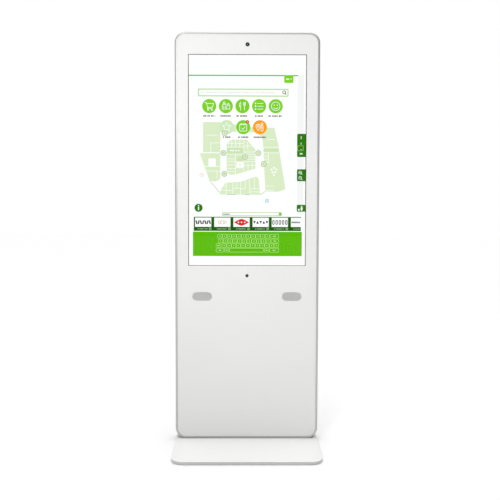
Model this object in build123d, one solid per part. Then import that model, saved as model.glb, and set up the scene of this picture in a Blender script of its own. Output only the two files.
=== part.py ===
from build123d import *
import math
import os

# Free-standing touchscreen kiosk, in millimetres.
# +X is the viewer's right, the screen faces -Y, +Z is up.
# The origin is on the floor under the middle of the base plate.

# ---------------------------------------------------------------- driving dimensions
BODY_WIDTH = 645.0
BODY_HEIGHT = 1827.0
BODY_DEPTH = 80.0
BODY_CORNER = 48.0

BASE_WIDTH = 640.0
BASE_LENGTH = 500.0
BASE_THICK = 12.0
BASE_CORNER = 50.0
PAD_THICK = 2.0
TOE_LENGTH = 275.0  # how far the base plate reaches out in front of the body

SHEET = 2.0
WALL = 2.5
NOSE = 8.0
TRIM_LIP = 10.0
FLANGE_REACH = 28.0
PANEL_RECESS = 1.0
PANEL_FIT = 0.3

SCREEN_WIDTH = 526.8
SCREEN_HEIGHT = 940.4
SCREEN_Z = 1272.2
CAMERA_Z = 1785.8
SENSOR_Z = 757.6
SPEAKER_X = 201.6
SPEAKER_Z = 663.1
SPEAKER_SLOT = (90.0, 41.0)
SPEAKER_FLANGE = (116.0, 60.0)
SPEAKER_STUDS = (46.0, 20.0)
STUD_R = 2.0

DOOR_WIDTH = 440.0
DOOR_Z = (120.0, 620.0)
DOOR_GAP = 2.0
RETURN_DEPTH = 12.0

FAN_SIZE = 80.0
FAN_DEPTH = 25.0
FAN_X = 70.0
FAN_Z = 1640.0
FAN_DUCT_R = 38.0
FAN_SCREW = 35.75

RUNNING = 0.05  # radial clearance of a shaft in its hole
THREAD = 0.05  # radial clearance of a screw in its hole

# ---------------------------------------------------------------- planes worked out from them
BODY_Z0 = PAD_THICK + BASE_THICK
BODY_Z1 = BODY_Z0 + BODY_HEIGHT
BODY_MID_Z = (BODY_Z0 + BODY_Z1) / 2
HALF_W = BODY_WIDTH / 2
FRONT_Y = TOE_LENGTH - BASE_LENGTH / 2
REAR_Y = FRONT_Y + BODY_DEPTH
PANEL_Y = (FRONT_Y + PANEL_RECESS, FRONT_Y + PANEL_RECESS + SHEET)
COVER_Y = (REAR_Y - PANEL_RECESS - SHEET, REAR_Y - PANEL_RECESS)
WEB_Z = BODY_Z0 + WALL

UPRIGHT_X = 264.0
UPRIGHT_SIZE = (20.0, 30.0)
UPRIGHT_Y = 73.0
FOOT_Y = 68.0
FOOT_THICK = 10.0
ANCHOR_R = 6.5
ANCHOR_SPACING = (340.0, 36.0)
FOOT_BOLT_X = 220.0
ENTRY_R = 15.0
GROMMET_R = 22.0

GLASS_Y = PANEL_Y[1] + 1.0
GLASS_THICK = 4.0
LCD_SIZE = (564.0, 968.0)
LCD_WINDOW = (524.4, 938.0)
LCD_Y = GLASS_Y + GLASS_THICK + 1.0
LCD_BACK_Y = LCD_Y + 15.0

TRAY_Y = 34.0
TRAY_FACE = TRAY_Y + SHEET

PARTS = {}


# ---------------------------------------------------------------- helpers
def block(x0, x1, y0, y1, z0, z1):
    """Box between two corners."""
    centre = Pos((x0 + x1) / 2, (y0 + y1) / 2, (z0 + z1) / 2)
    return centre * Box(x1 - x0, y1 - y0, z1 - z0)


def plate(outline, y0, y1):
    """Upright plate: an outline in (x, z) carried from depth y0 back to y1."""
    return extrude(Plane.XZ.offset(-y0) * outline, amount=y0 - y1)


def slab(outline, z0, z1):
    """Level plate: an outline in (x, y) carried from height z0 up to z1."""
    return extrude(Plane.XY.offset(z0) * outline, amount=z1 - z0)


def rod_y(x, z, radius, y0, y1):
    """Round bar along Y."""
    return plate(Pos(x, z) * Circle(radius), y0, y1)


def rod_z(x, y, radius, z0, z1):
    """Round bar along Z."""
    return slab(Pos(x, y) * Circle(radius), z0, z1)


def rod_x(y, z, radius, x0, x1):
    """Round bar along X."""
    face = Plane.YZ.offset(x0) * Pos(y, z) * Circle(radius)
    return extrude(face, amount=x1 - x0)


def frame_outline(outer, inner):
    """Rectangular frame between two (width, height) pairs."""
    return Rectangle(*outer) - Rectangle(*inner)


def union(pieces):
    """Join a list of shapes into one."""
    total = pieces[0]
    for piece in pieces[1:]:
        total = total + piece
    return total


def group(solids):
    """Keep separate solids together in one node."""
    return Compound(children=[solid.solid() for solid in solids])


def mirrored(shape):
    """The same piece on the other side of the kiosk."""
    return mirror(shape, about=Plane.YZ)


# ---------------------------------------------------------------- base
def base_outline():
    return RectangleRounded(BASE_WIDTH, BASE_LENGTH, BASE_CORNER)


def anchor_points():
    half_x = ANCHOR_SPACING[0] / 2
    half_y = ANCHOR_SPACING[1] / 2
    return [(sx * half_x, FOOT_Y + sy * half_y) for sx in (-1, 1) for sy in (-1, 1)]


def foot_bolt_points():
    half_y = ANCHOR_SPACING[1] / 2
    return [(sx * FOOT_BOLT_X, FOOT_Y + sy * half_y) for sx in (-1, 1) for sy in (-1, 1)]


BOLT_R = 5.0
BOLT_HEAD_R = 10.0
BOLT_HEAD_DEPTH = 5.0


def make_base():
    edge_round = 1.0
    top = BODY_Z0
    base = slab(base_outline(), PAD_THICK, top)
    base = fillet(base.faces().sort_by(Axis.Z)[-1].edges(), edge_round)
    for x, y in anchor_points():
        base -= rod_z(x, y, ANCHOR_R, PAD_THICK, top)
    for x, y in foot_bolt_points():
        base -= rod_z(x, y, BOLT_R + 0.5, PAD_THICK, top)
        sink = Cone(BOLT_HEAD_R + 0.5, BOLT_R + 0.5, BOLT_HEAD_DEPTH)
        base -= Pos(x, y, PAD_THICK + BOLT_HEAD_DEPTH / 2) * sink
    base -= rod_z(0, FOOT_Y, GROMMET_R, PAD_THICK, top)
    PARTS["base_plate"] = base

    pad_r = 20.0
    pad_x = BASE_WIDTH / 2 - 40
    pad_rows = (-(BASE_LENGTH / 2 - 40), 0.0, BASE_LENGTH / 2 - 40)
    pads = [rod_z(side * pad_x, y, pad_r, 0, PAD_THICK) for side in (-1, 1) for y in pad_rows]
    PARTS["base_pads"] = group(pads)

    bolts = []
    for x, y in foot_bolt_points():
        head = Pos(x, y, PAD_THICK + BOLT_HEAD_DEPTH / 2) * Cone(BOLT_HEAD_R, BOLT_R, BOLT_HEAD_DEPTH)
        shank = rod_z(x, y, BOLT_R, PAD_THICK + BOLT_HEAD_DEPTH, WEB_Z + FOOT_THICK)
        socket = rod_z(x, y, 3.0, PAD_THICK, PAD_THICK + 3)
        bolts.append(head + shank - socket)
    PARTS["base_bolts"] = group(bolts)

    ring = rod_z(0, FOOT_Y, GROMMET_R - THREAD, PAD_THICK + 1, WEB_Z)
    ring += rod_z(0, FOOT_Y, GROMMET_R + 4, WEB_Z, WEB_Z + 4)
    ring -= rod_z(0, FOOT_Y, ENTRY_R, PAD_THICK + 1, WEB_Z + 4)
    PARTS["cable_grommet"] = ring


# ---------------------------------------------------------------- edge profiles
def profile_section():
    """C-shaped aluminium section: u runs inwards from the outer side, v from front to rear."""
    seat = PANEL_RECESS + SHEET
    back = BODY_DEPTH
    bevel = 5.0
    with BuildSketch() as section:
        with BuildLine():
            Line((TRIM_LIP, 0), (NOSE, 0))
            CenterArc((NOSE, NOSE), NOSE, 180, 90)
            Line((0, NOSE), (0, back - NOSE))
            CenterArc((NOSE, back - NOSE), NOSE, 90, 90)
            Polyline(
                (NOSE, back),
                (TRIM_LIP, back),
                (TRIM_LIP, back - seat),
                (FLANGE_REACH, back - seat),
                (FLANGE_REACH, back - seat - SHEET),
                (WALL + bevel, back - seat - SHEET),
                (WALL, back - seat - SHEET - bevel),
                (WALL, seat + SHEET + bevel),
                (WALL + bevel, seat + SHEET),
                (FLANGE_REACH, seat + SHEET),
                (FLANGE_REACH, seat),
                (TRIM_LIP, seat),
                (TRIM_LIP, 0),
            )
        make_face()
    return section.sketch


def screw_points():
    """Where the rear cover is screwed to the profiles' rear flanges, as (x, z)."""
    inset = 21.0
    side_x = HALF_W - inset
    end_x = HALF_W - 3 * BODY_CORNER
    side_z = [BODY_MID_Z + k * 400.0 for k in (-2, -1, 0, 1, 2)]
    points = [(s * side_x, z) for s in (-1, 1) for z in side_z]
    for z in (BODY_Z0 + inset, BODY_Z1 - inset):
        points += [(x, z) for x in (-end_x, 0.0, end_x)]
    return points


SCREW_R = 2.0


def make_profiles():
    seam = 0.2
    straight_z = BODY_HEIGHT - 2 * BODY_CORNER - 2 * seam
    straight_x = BODY_WIDTH - 2 * BODY_CORNER - 2 * seam
    section = profile_section()

    # the left profile runs up from the bottom corner piece
    upright_plane = Plane(
        origin=(-HALF_W, FRONT_Y, BODY_Z0 + BODY_CORNER + seam), x_dir=(1, 0, 0), z_dir=(0, 0, 1)
    )
    left = extrude(upright_plane * section, amount=straight_z)
    right = mirrored(left)
    # the bottom profile runs to the right, its open side up
    level_plane = Plane(
        origin=(-straight_x / 2, FRONT_Y, BODY_Z0), x_dir=(0, 0, 1), z_dir=(-1, 0, 0)
    )
    bottom = extrude(level_plane * section, amount=-straight_x)
    top = mirror(bottom, about=Plane.XY.offset(BODY_MID_Z))

    # a corner piece is the same section turned about the corner's centre
    corner_x = -HALF_W + BODY_CORNER
    corner_z = BODY_Z0 + BODY_CORNER
    start = Plane(origin=(-HALF_W, FRONT_Y, corner_z), x_dir=(1, 0, 0), z_dir=(0, 0, 1))
    turn_axis = Axis((corner_x, 0, corner_z), (0, -1, 0))
    corner = revolve(start * section, axis=turn_axis, revolution_arc=90)
    corners = {
        "bottom_left": corner,
        "bottom_right": mirrored(corner),
        "top_left": mirror(corner, about=Plane.XY.offset(BODY_MID_Z)),
        "top_right": mirrored(mirror(corner, about=Plane.XY.offset(BODY_MID_Z))),
    }

    for x, z in screw_points():
        hole = rod_y(x, z, SCREW_R + THREAD, COVER_Y[0] - SHEET - 1, REAR_Y)
        left -= hole
        right -= hole
        top -= hole
        bottom -= hole
    for x, y in anchor_points():
        bottom -= rod_z(x, y, ANCHOR_R + 3, BODY_Z0, WEB_Z)
    for x, y in foot_bolt_points():
        bottom -= rod_z(x, y, BOLT_R + 0.5, BODY_Z0, WEB_Z)
    bottom -= rod_z(0, FOOT_Y, GROMMET_R, BODY_Z0, WEB_Z)

    PARTS["left_profile"] = left
    PARTS["right_profile"] = right
    PARTS["top_profile"] = top
    PARTS["bottom_profile"] = bottom
    for place, piece in corners.items():
        PARTS["corner_" + place] = piece


# ---------------------------------------------------------------- front panel
def panel_outline():
    inset = TRIM_LIP + PANEL_FIT
    shape = RectangleRounded(BODY_WIDTH - 2 * inset, BODY_HEIGHT - 2 * inset, BODY_CORNER - inset)
    return Pos(0, BODY_MID_Z) * shape


CAMERA_HOLE_R = 9.5
SENSOR_HOLE_R = 7.5


def speaker_stud_points():
    """Stud positions round one speaker, relative to its centre."""
    return [(sx * SPEAKER_STUDS[0], sz * SPEAKER_STUDS[1]) for sx in (-1, 1) for sz in (-1, 1)]


def make_front_panel():
    stud_length = 12.0
    panel = plate(panel_outline(), *PANEL_Y)
    panel -= plate(Pos(0, SCREEN_Z) * Rectangle(SCREEN_WIDTH, SCREEN_HEIGHT), *PANEL_Y)
    panel -= rod_y(0, CAMERA_Z, CAMERA_HOLE_R, *PANEL_Y)
    panel -= rod_y(0, SENSOR_Z, SENSOR_HOLE_R, *PANEL_Y)
    for side in (-1, 1):
        panel -= plate(Pos(side * SPEAKER_X, SPEAKER_Z) * SlotOverall(*SPEAKER_SLOT), *PANEL_Y)
        for dx, dz in speaker_stud_points():
            x = side * SPEAKER_X + dx
            panel += rod_y(x, SPEAKER_Z + dz, STUD_R, PANEL_Y[1], PANEL_Y[1] + stud_length)
    PARTS["front_panel"] = panel


# ---------------------------------------------------------------- screen
BOARD_COVERS = ((260.0, 200.0, -120.0), (180.0, 120.0, 180.0))  # width, height, offset from screen centre
COVER_RISE = 8.0


def make_screen():
    glass_size = (SCREEN_WIDTH + 18, SCREEN_HEIGHT + 18)
    at_screen = Pos(0, SCREEN_Z)

    gasket = at_screen * frame_outline(glass_size, (SCREEN_WIDTH + 3, SCREEN_HEIGHT + 3))
    PARTS["screen_gasket"] = plate(gasket, PANEL_Y[1], GLASS_Y)

    glass = at_screen * RectangleRounded(*glass_size, 3)
    PARTS["touch_glass"] = plate(glass, GLASS_Y, GLASS_Y + GLASS_THICK)

    rim = 1.5
    tray_inside = (LCD_SIZE[0] - 2 * rim, LCD_SIZE[1] - 2 * rim)
    bezel = plate(at_screen * Rectangle(*LCD_SIZE), LCD_Y, LCD_BACK_Y - 3)
    bezel -= plate(at_screen * Rectangle(*tray_inside), LCD_Y + rim, LCD_BACK_Y - 3)
    bezel -= plate(at_screen * Rectangle(*LCD_WINDOW), LCD_Y, LCD_Y + rim)
    PARTS["lcd_bezel"] = bezel

    cell_y = LCD_Y + rim
    cell = at_screen * Rectangle(LCD_WINDOW[0] + 8, LCD_WINDOW[1] + 8)
    PARTS["lcd_cell"] = plate(cell, cell_y, cell_y + 1.6)

    light = at_screen * Rectangle(LCD_SIZE[0] - 12, LCD_SIZE[1] - 12)
    PARTS["lcd_backlight"] = plate(light, cell_y + 1.8, cell_y + 7.5)

    # pressed steel pan with two hollow covers over the circuit boards
    pan_y = cell_y + 7.7
    skin = 1.0
    pan_size = (LCD_SIZE[0] - 4, LCD_SIZE[1] - 4)
    pan_inside = (pan_size[0] - 2 * skin, pan_size[1] - 2 * skin)
    pan = plate(at_screen * Rectangle(*pan_size), pan_y, LCD_BACK_Y)
    pan -= plate(at_screen * Rectangle(*pan_inside), pan_y, LCD_BACK_Y - skin)
    for width, height, dz in BOARD_COVERS:
        at_cover = Pos(0, SCREEN_Z + dz)
        pan += plate(at_cover * RectangleRounded(width, height, 6), LCD_BACK_Y, LCD_BACK_Y + COVER_RISE)
        hollow = at_cover * RectangleRounded(width - 2 * skin, height - 2 * skin, 5)
        pan -= plate(hollow, LCD_BACK_Y - skin, LCD_BACK_Y + COVER_RISE - skin)
    PARTS["lcd_back_pan"] = pan

    # hat-shaped rails carry the display on the two uprights
    rail_depth = UPRIGHT_Y - UPRIGHT_SIZE[1] / 2 - LCD_BACK_Y
    rail_z = (SCREEN_Z - 420, SCREEN_Z + 420)
    rails = []
    for side in (-1, 1):
        x = side * UPRIGHT_X
        rail = block(x - 15, x + 15, LCD_BACK_Y, LCD_BACK_Y + rail_depth, *rail_z)
        rail -= block(x - 13, x + 13, LCD_BACK_Y, LCD_BACK_Y + rail_depth - 2, *rail_z)
        rails.append(rail)
    PARTS["display_rails"] = group(rails)


# ---------------------------------------------------------------- camera and presence sensor
def make_camera():
    flange_y = PANEL_Y[1]
    housing = plate(Pos(0, CAMERA_Z) * RectangleRounded(52, 26, 4), flange_y, flange_y + 2)
    housing += plate(Pos(0, CAMERA_Z) * RectangleRounded(36, 26, 3), flange_y + 2, flange_y + 20)
    housing += rod_y(0, CAMERA_Z, CAMERA_HOLE_R - 0.3, PANEL_Y[0] + 0.4, flange_y)
    # stepped recess in front of the lens
    housing -= rod_y(0, CAMERA_Z, 7.6, PANEL_Y[0] + 0.4, PANEL_Y[0] + 1.4)
    housing -= rod_y(0, CAMERA_Z, 5.6, PANEL_Y[0] + 1.4, flange_y + 3)
    PARTS["camera_housing"] = housing

    lens_r = 5.5
    dome_r = 9.0
    back_y = flange_y + 3
    lens = rod_y(0, CAMERA_Z, lens_r, back_y - 4, back_y)
    ball = Pos(0, back_y - 4 + dome_r, CAMERA_Z) * Sphere(dome_r)
    PARTS["camera_lens"] = lens & ball


def make_sensor():
    window_y = PANEL_Y[0] + 0.4
    window = rod_y(0, SENSOR_Z, SENSOR_HOLE_R - 0.2, window_y, PANEL_Y[1])
    window += rod_y(0, SENSOR_Z, SENSOR_HOLE_R + 4, PANEL_Y[1], PANEL_Y[1] + 1.5)
    PARTS["sensor_window"] = window

    back_y = PANEL_Y[1] + 1.5
    module = plate(Pos(0, SENSOR_Z) * RectangleRounded(34, 24, 2), back_y, back_y + 12)
    module -= rod_y(0, SENSOR_Z, 5, back_y, back_y + 6)
    PARTS["sensor_module"] = module


# ---------------------------------------------------------------- speakers
GRILLE_THICK = 1.2
GRILLE_HOLE_R = 2.2
GRILLE_PITCH = 9.4


def grille_holes():
    """Staggered holes that lie wholly inside the speaker slot, relative to its centre."""
    row_pitch = GRILLE_PITCH / 2
    rows = 8
    end_r = SPEAKER_SLOT[1] / 2
    end_x = SPEAKER_SLOT[0] / 2 - end_r
    reach = end_r - GRILLE_HOLE_R - 0.3
    points = []
    for row in range(rows):
        dz = (row - (rows - 1) / 2) * row_pitch
        stagger = GRILLE_PITCH / 2 if row % 2 else 0.0
        for column in range(-5, 6):
            dx = column * GRILLE_PITCH + stagger
            past_end = max(abs(dx) - end_x, 0.0)
            if math.hypot(past_end, dz) <= reach:
                points.append((dx, dz))
    return points


def cut_stud_holes(shape, radius, y0, y1):
    for dx, dz in speaker_stud_points():
        shape = shape - rod_y(SPEAKER_X + dx, SPEAKER_Z + dz, radius, y0, y1)
    return shape


def make_speakers():
    centre = Pos(SPEAKER_X, SPEAKER_Z)
    grille_y = PANEL_Y[1]
    flange_y = grille_y + GRILLE_THICK
    flange_thick = 1.5
    cup_wall = 1.5
    cup_y1 = flange_y + flange_thick + 14
    magnet_y1 = cup_y1 + 9

    perforation = Sketch() + [Pos(dx, dz) * Circle(GRILLE_HOLE_R) for dx, dz in grille_holes()]
    grille = plate(centre * (SlotOverall(*SPEAKER_FLANGE) - perforation), grille_y, flange_y)
    grille = cut_stud_holes(grille, STUD_R + THREAD, grille_y, flange_y)

    basket = plate(centre * SlotOverall(*SPEAKER_FLANGE), flange_y, flange_y + flange_thick)
    basket += plate(centre * SlotOverall(92, 46), flange_y, cup_y1)
    basket -= plate(centre * SlotOverall(92 - 2 * cup_wall, 46 - 2 * cup_wall), flange_y, cup_y1 - cup_wall)
    for dx in (-24, 24):
        window = block(SPEAKER_X + dx - 11, SPEAKER_X + dx + 11, flange_y + 5, cup_y1 - 4, 0, 2 * BODY_MID_Z)
        basket -= window
    basket += rod_y(SPEAKER_X, SPEAKER_Z, 18, cup_y1, magnet_y1)
    basket = cut_stud_holes(basket, STUD_R + THREAD, flange_y, flange_y + flange_thick)

    cone_y0 = flange_y + 2.5
    cone_y1 = cup_y1 - cup_wall - 1
    wide = Plane.XZ.offset(-cone_y0) * centre * SlotOverall(84, 38)
    narrow = Plane.XZ.offset(-cone_y1) * centre * SlotOverall(32, 18)
    wide_in = Plane.XZ.offset(-cone_y0) * centre * SlotOverall(82, 36)
    narrow_in = Plane.XZ.offset(-(cone_y1 - 1)) * centre * SlotOverall(30, 16)
    cone = loft([wide.face(), narrow.face()]) - loft([wide_in.face(), narrow_in.face()])
    # flat roll surround that reaches the basket's wall
    surround = SlotOverall(88.4, 42.4) - SlotOverall(83, 37)
    cone += plate(centre * surround, cone_y0, cone_y0 + 0.8)

    nut = plate(RegularPolygon(4.0, 6) - Circle(STUD_R + THREAD), flange_y + flange_thick, flange_y + 4.7)
    nuts = []
    for side in (-1, 1):
        for dx, dz in speaker_stud_points():
            nuts.append(Pos(side * (SPEAKER_X + dx), 0, SPEAKER_Z + dz) * nut)

    PARTS["speaker_grille_right"] = grille
    PARTS["speaker_grille_left"] = mirrored(grille)
    PARTS["speaker_basket_right"] = basket
    PARTS["speaker_basket_left"] = mirrored(basket)
    PARTS["speaker_cone_right"] = cone
    PARTS["speaker_cone_left"] = mirrored(cone)
    PARTS["speaker_nuts"] = group(nuts)


# ---------------------------------------------------------------- inner chassis
CROSSBAR_Z = (800.0, 1330.0, 1770.0)


def make_chassis():
    half_x = UPRIGHT_SIZE[0] / 2
    half_y = UPRIGHT_SIZE[1] / 2
    foot_z1 = WEB_Z + FOOT_THICK
    top_z = BODY_Z1 - 40
    feet = []
    uprights = []
    for side in (-1, 1):
        x = side * UPRIGHT_X
        inner = side * (UPRIGHT_X - 64)
        outer = side * (UPRIGHT_X + 10)
        foot = block(min(inner, outer), max(inner, outer), FOOT_Y - 26, FOOT_Y + 26, WEB_Z, foot_z1)
        for bolt_x, bolt_y in foot_bolt_points():
            foot -= rod_z(bolt_x, bolt_y, BOLT_R + THREAD, WEB_Z, foot_z1)
        feet.append(foot)
        post = block(x - half_x, x + half_x, UPRIGHT_Y - half_y, UPRIGHT_Y + half_y, foot_z1, top_z)
        post -= block(
            x - half_x + SHEET,
            x + half_x - SHEET,
            UPRIGHT_Y - half_y + SHEET,
            UPRIGHT_Y + half_y - SHEET,
            foot_z1,
            top_z,
        )
        uprights.append(post)
    PARTS["foot_plates"] = group(feet)
    PARTS["chassis_uprights"] = group(uprights)

    reach = UPRIGHT_X - half_x
    bars = []
    for z in CROSSBAR_Z:
        bar = block(-reach, reach, UPRIGHT_Y - half_y, UPRIGHT_Y + half_y, z - 10, z + 10)
        bar -= block(-reach, reach, UPRIGHT_Y - half_y + SHEET, UPRIGHT_Y + half_y - SHEET, z - 8, z + 8)
        bars.append(bar)
    PARTS["chassis_crossbars"] = group(bars)


# ---------------------------------------------------------------- equipment behind the service door
TRAY_Z = (100.0, 612.0)
COMPUTER = {"x": (-196.0, -6.0), "z": (390.0, 580.0), "depth": 42.0}
SUPPLY = {"x": (40.0, 190.0), "z": (470.0, 580.0), "depth": 38.0}
AMPLIFIER = {"x": (40.0, 150.0), "z": (385.0, 445.0), "depth": 26.0}
BUTTON_POS = (-176.0, 560.0)
BUTTON_R = 5.0
BREAKER_X = (96.0, 132.0)
RAIL_X = (60.0, 180.0)
BREAKER_Z = 280.0
LEVER_AXIS_Y = TRAY_FACE + 50.0


def slots_y(x_mid, z_mid, length, height, count, pitch, y0, y1):
    """A stack of level slots cut through along Y."""
    cutters = []
    for k in range(count):
        z = z_mid + (k - (count - 1) / 2) * pitch
        cutters.append(plate(Pos(x_mid, z) * SlotOverall(length, height), y0, y1))
    return union(cutters)


def make_equipment_tray():
    reach = UPRIGHT_X - UPRIGHT_SIZE[0] / 2
    tray = block(-reach, reach, TRAY_Y, TRAY_FACE, *TRAY_Z)
    for side in (-1, 1):
        outer = side * reach
        inner = side * (reach - SHEET)
        tray += block(min(outer, inner), max(outer, inner), TRAY_FACE, 84, *TRAY_Z)
    PARTS["equipment_tray"] = tray


def make_computer():
    x0, x1 = COMPUTER["x"]
    z0, z1 = COMPUTER["z"]
    y1 = TRAY_FACE + COMPUTER["depth"]
    wall = 1.5
    case = block(x0, x1, TRAY_FACE, y1, z0, z1)
    case = fillet(case.edges().filter_by(Axis.Y), 6)
    case -= block(x0 + wall, x1 - wall, TRAY_FACE + wall, y1 - wall, z0 + wall, z1 - wall)
    case -= slots_y((x0 + x1) / 2, (z0 + z1) / 2, 110, 4, 9, 9, y1 - wall, y1)
    bx, bz = BUTTON_POS
    # guide tube for the button behind the face
    case += rod_y(bx, bz, BUTTON_R + 2, y1 - 8, y1 - wall)
    case -= rod_y(bx, bz, BUTTON_R + RUNNING, y1 - 8, y1)
    PARTS["computer_case"] = case

    button = rod_y(bx, bz, BUTTON_R, y1 - 6, y1 + 2)
    button = fillet(button.edges().sort_by(Axis.Y)[-1], 0.8)
    PARTS["computer_button"] = button


def make_power_supply():
    x0, x1 = SUPPLY["x"]
    z0, z1 = SUPPLY["z"]
    y1 = TRAY_FACE + SUPPLY["depth"]
    wall = 1.2
    case = block(x0, x1, TRAY_FACE, y1, z0, z1)
    case -= block(x0 + wall, x1 - wall, TRAY_FACE + wall, y1 - wall, z0 + wall, z1 - wall)
    case -= slots_y((x0 + x1) / 2, (z0 + z1) / 2, 90, 4, 8, 10, y1 - wall, y1)
    PARTS["power_supply"] = case


def make_amplifier():
    x0, x1 = AMPLIFIER["x"]
    z0, z1 = AMPLIFIER["z"]
    y1 = TRAY_FACE + AMPLIFIER["depth"]
    base_y = y1 - 10
    amplifier = block(x0, x1, TRAY_FACE, base_y, z0, z1)
    # cooling fins along the back
    fins = 9
    pitch = (x1 - x0 - 3) / (fins - 1)
    for k in range(fins):
        fin_x = x0 + k * pitch
        amplifier += block(fin_x, fin_x + 3, base_y, y1, z0, z1)
    PARTS["amplifier"] = amplifier


def make_breaker():
    # top-hat rail: a web, two sides and two lips, drawn as (y, z)
    web_z = 13.0
    lip_z = 17.5
    rail_depth = 7.5
    gauge = 1.0
    outline = Pos(gauge / 2, 0) * Rectangle(gauge, 2 * web_z)
    for side in (-1, 1):
        outline += Pos(rail_depth / 2, side * (web_z - gauge / 2)) * Rectangle(rail_depth, gauge)
        lip_mid = side * (web_z + lip_z - gauge) / 2
        outline += Pos(rail_depth - gauge / 2, lip_mid) * Rectangle(gauge, lip_z - web_z + gauge)
    rail_face = Plane.YZ.offset(RAIL_X[0]) * Pos(TRAY_FACE, BREAKER_Z) * outline
    PARTS["din_rail"] = extrude(rail_face, amount=RAIL_X[1] - RAIL_X[0])

    x0, x1 = BREAKER_X
    mid_x = (x0 + x1) / 2
    breaker = block(x0, x1, TRAY_FACE + 7.5, TRAY_FACE + 44, BREAKER_Z - 42, BREAKER_Z + 42)
    breaker += block(x0, x1, TRAY_FACE + 44, TRAY_FACE + 54, BREAKER_Z - 22, BREAKER_Z + 22)
    # pocket in which the lever turns
    breaker -= block(mid_x - 10, mid_x + 10, LEVER_AXIS_Y - 9, TRAY_FACE + 54, BREAKER_Z - 9, BREAKER_Z + 9)
    breaker -= rod_x(LEVER_AXIS_Y, BREAKER_Z, 2 + RUNNING, mid_x - 13, mid_x + 13)
    PARTS["circuit_breaker"] = breaker

    drum = rod_x(LEVER_AXIS_Y, BREAKER_Z, 7, mid_x - 9.6, mid_x + 9.6)
    handle_tilt = 35
    handle = Box(19.2, 17, 4)
    handle = Pos(mid_x, LEVER_AXIS_Y, BREAKER_Z) * Rot(-handle_tilt, 0, 0) * Pos(0, 6, 0) * handle
    shaft = rod_x(LEVER_AXIS_Y, BREAKER_Z, 2, mid_x - 12.8, mid_x + 12.8)
    PARTS["breaker_lever"] = drum + handle + shaft


# ---------------------------------------------------------------- mains inlet with its rocker switch
INLET_X = 150.0
INLET_Z = 80.0
INLET_FLANGE_Y = (COVER_Y[1], COVER_Y[1] + 2.5)
INLET_BODY = (48.0, 28.0)
SOCKET_X = INLET_X - 10.0
ROCKER_X = INLET_X + 15.0
ROCKER_AXIS_Y = COVER_Y[1] - 5.0
ROCKER_TILT = 9.0


def make_inlet():
    y1 = INLET_FLANGE_Y[1]
    body_y0 = COVER_Y[1] - 32
    floor_y = y1 - 16
    inlet = plate(Pos(INLET_X, INLET_Z) * RectangleRounded(58, 34, 3), *INLET_FLANGE_Y)
    inlet += plate(Pos(INLET_X, INLET_Z) * Rectangle(*INLET_BODY), body_y0, COVER_Y[1])
    socket = Pos(SOCKET_X, INLET_Z) * chamfer(Rectangle(24.5, 17).vertices().sort_by(Axis.Y)[-2:], 4.5)
    inlet -= plate(socket, floor_y, y1)
    for dx, dz in ((-7, -2), (0, 2), (7, -2)):
        x = SOCKET_X + dx
        z = INLET_Z + dz
        inlet += block(x - 1, x + 1, floor_y, y1 - 6, z - 2, z + 2)
    rocker_pocket = Rectangle(13, 19.4)
    inlet -= plate(Pos(ROCKER_X, INLET_Z) * rocker_pocket, ROCKER_AXIS_Y - 6, y1)
    inlet -= rod_x(ROCKER_AXIS_Y, INLET_Z, 1.2 + RUNNING, ROCKER_X - 7.8, ROCKER_X + 7.8)
    PARTS["mains_inlet"] = inlet

    # dished rocker, drawn level and then tipped to its rest side
    half_z = 8.0
    with BuildSketch() as side_view:
        with BuildLine():
            Polyline((7.0, half_z), (-3.0, half_z), (-3.0, -half_z), (7.0, -half_z))
            ThreePointArc((7.0, -half_z), (5.8, 0), (7.0, half_z))
        make_face()
    rocker = extrude(Plane.YZ.offset(-6.2) * side_view.sketch, amount=12.4)
    rocker += rod_x(0, 0, 1.2, -7.6, 7.6)
    rocker = Pos(ROCKER_X, ROCKER_AXIS_Y, INLET_Z) * Rot(ROCKER_TILT, 0, 0) * rocker
    PARTS["inlet_rocker"] = rocker


# ---------------------------------------------------------------- rear cover, door, hinges and lock
HINGE_Z = (190.0, 550.0)
HINGE_LENGTH = 60.0
HINGE_R = 5.0
HINGE_PIN_R = 2.5
HINGE_X = -(DOOR_WIDTH + DOOR_GAP) / 2
HINGE_Y = COVER_Y[1] + HINGE_R + 0.5
LEAF_REACH = 28.0
LOCK_X = DOOR_WIDTH / 2 - 24
LOCK_Z = (DOOR_Z[0] + DOOR_Z[1]) / 2
LOCK_BARREL_R = 9.5
PLUG_R = 6.0


def door_outline(grow):
    width = DOOR_WIDTH + 2 * grow
    height = DOOR_Z[1] - DOOR_Z[0] + 2 * grow
    return Pos(0, (DOOR_Z[0] + DOOR_Z[1]) / 2) * Rectangle(width, height)


def fan_perforation():
    """Round holes on a triangular grid inside the fan's duct, relative to its centre."""
    pitch = 9.0
    hole_r = 3.0
    row_pitch = pitch * math.sin(math.radians(60))
    holes = []
    for row in range(-4, 5):
        stagger = pitch / 2 if row % 2 else 0.0
        for column in range(-5, 6):
            dx = column * pitch + stagger
            dz = row * row_pitch
            if math.hypot(dx, dz) <= FAN_DUCT_R - hole_r - 1:
                holes.append(Pos(dx, dz) * Circle(hole_r))
    return Sketch() + holes


def fan_screw_points():
    signs = [(sx, sz) for sx in (-1, 1) for sz in (-1, 1)]
    return [(side * FAN_X + sx * FAN_SCREW, FAN_Z + sz * FAN_SCREW) for side in (-1, 1) for sx, sz in signs]


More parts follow.
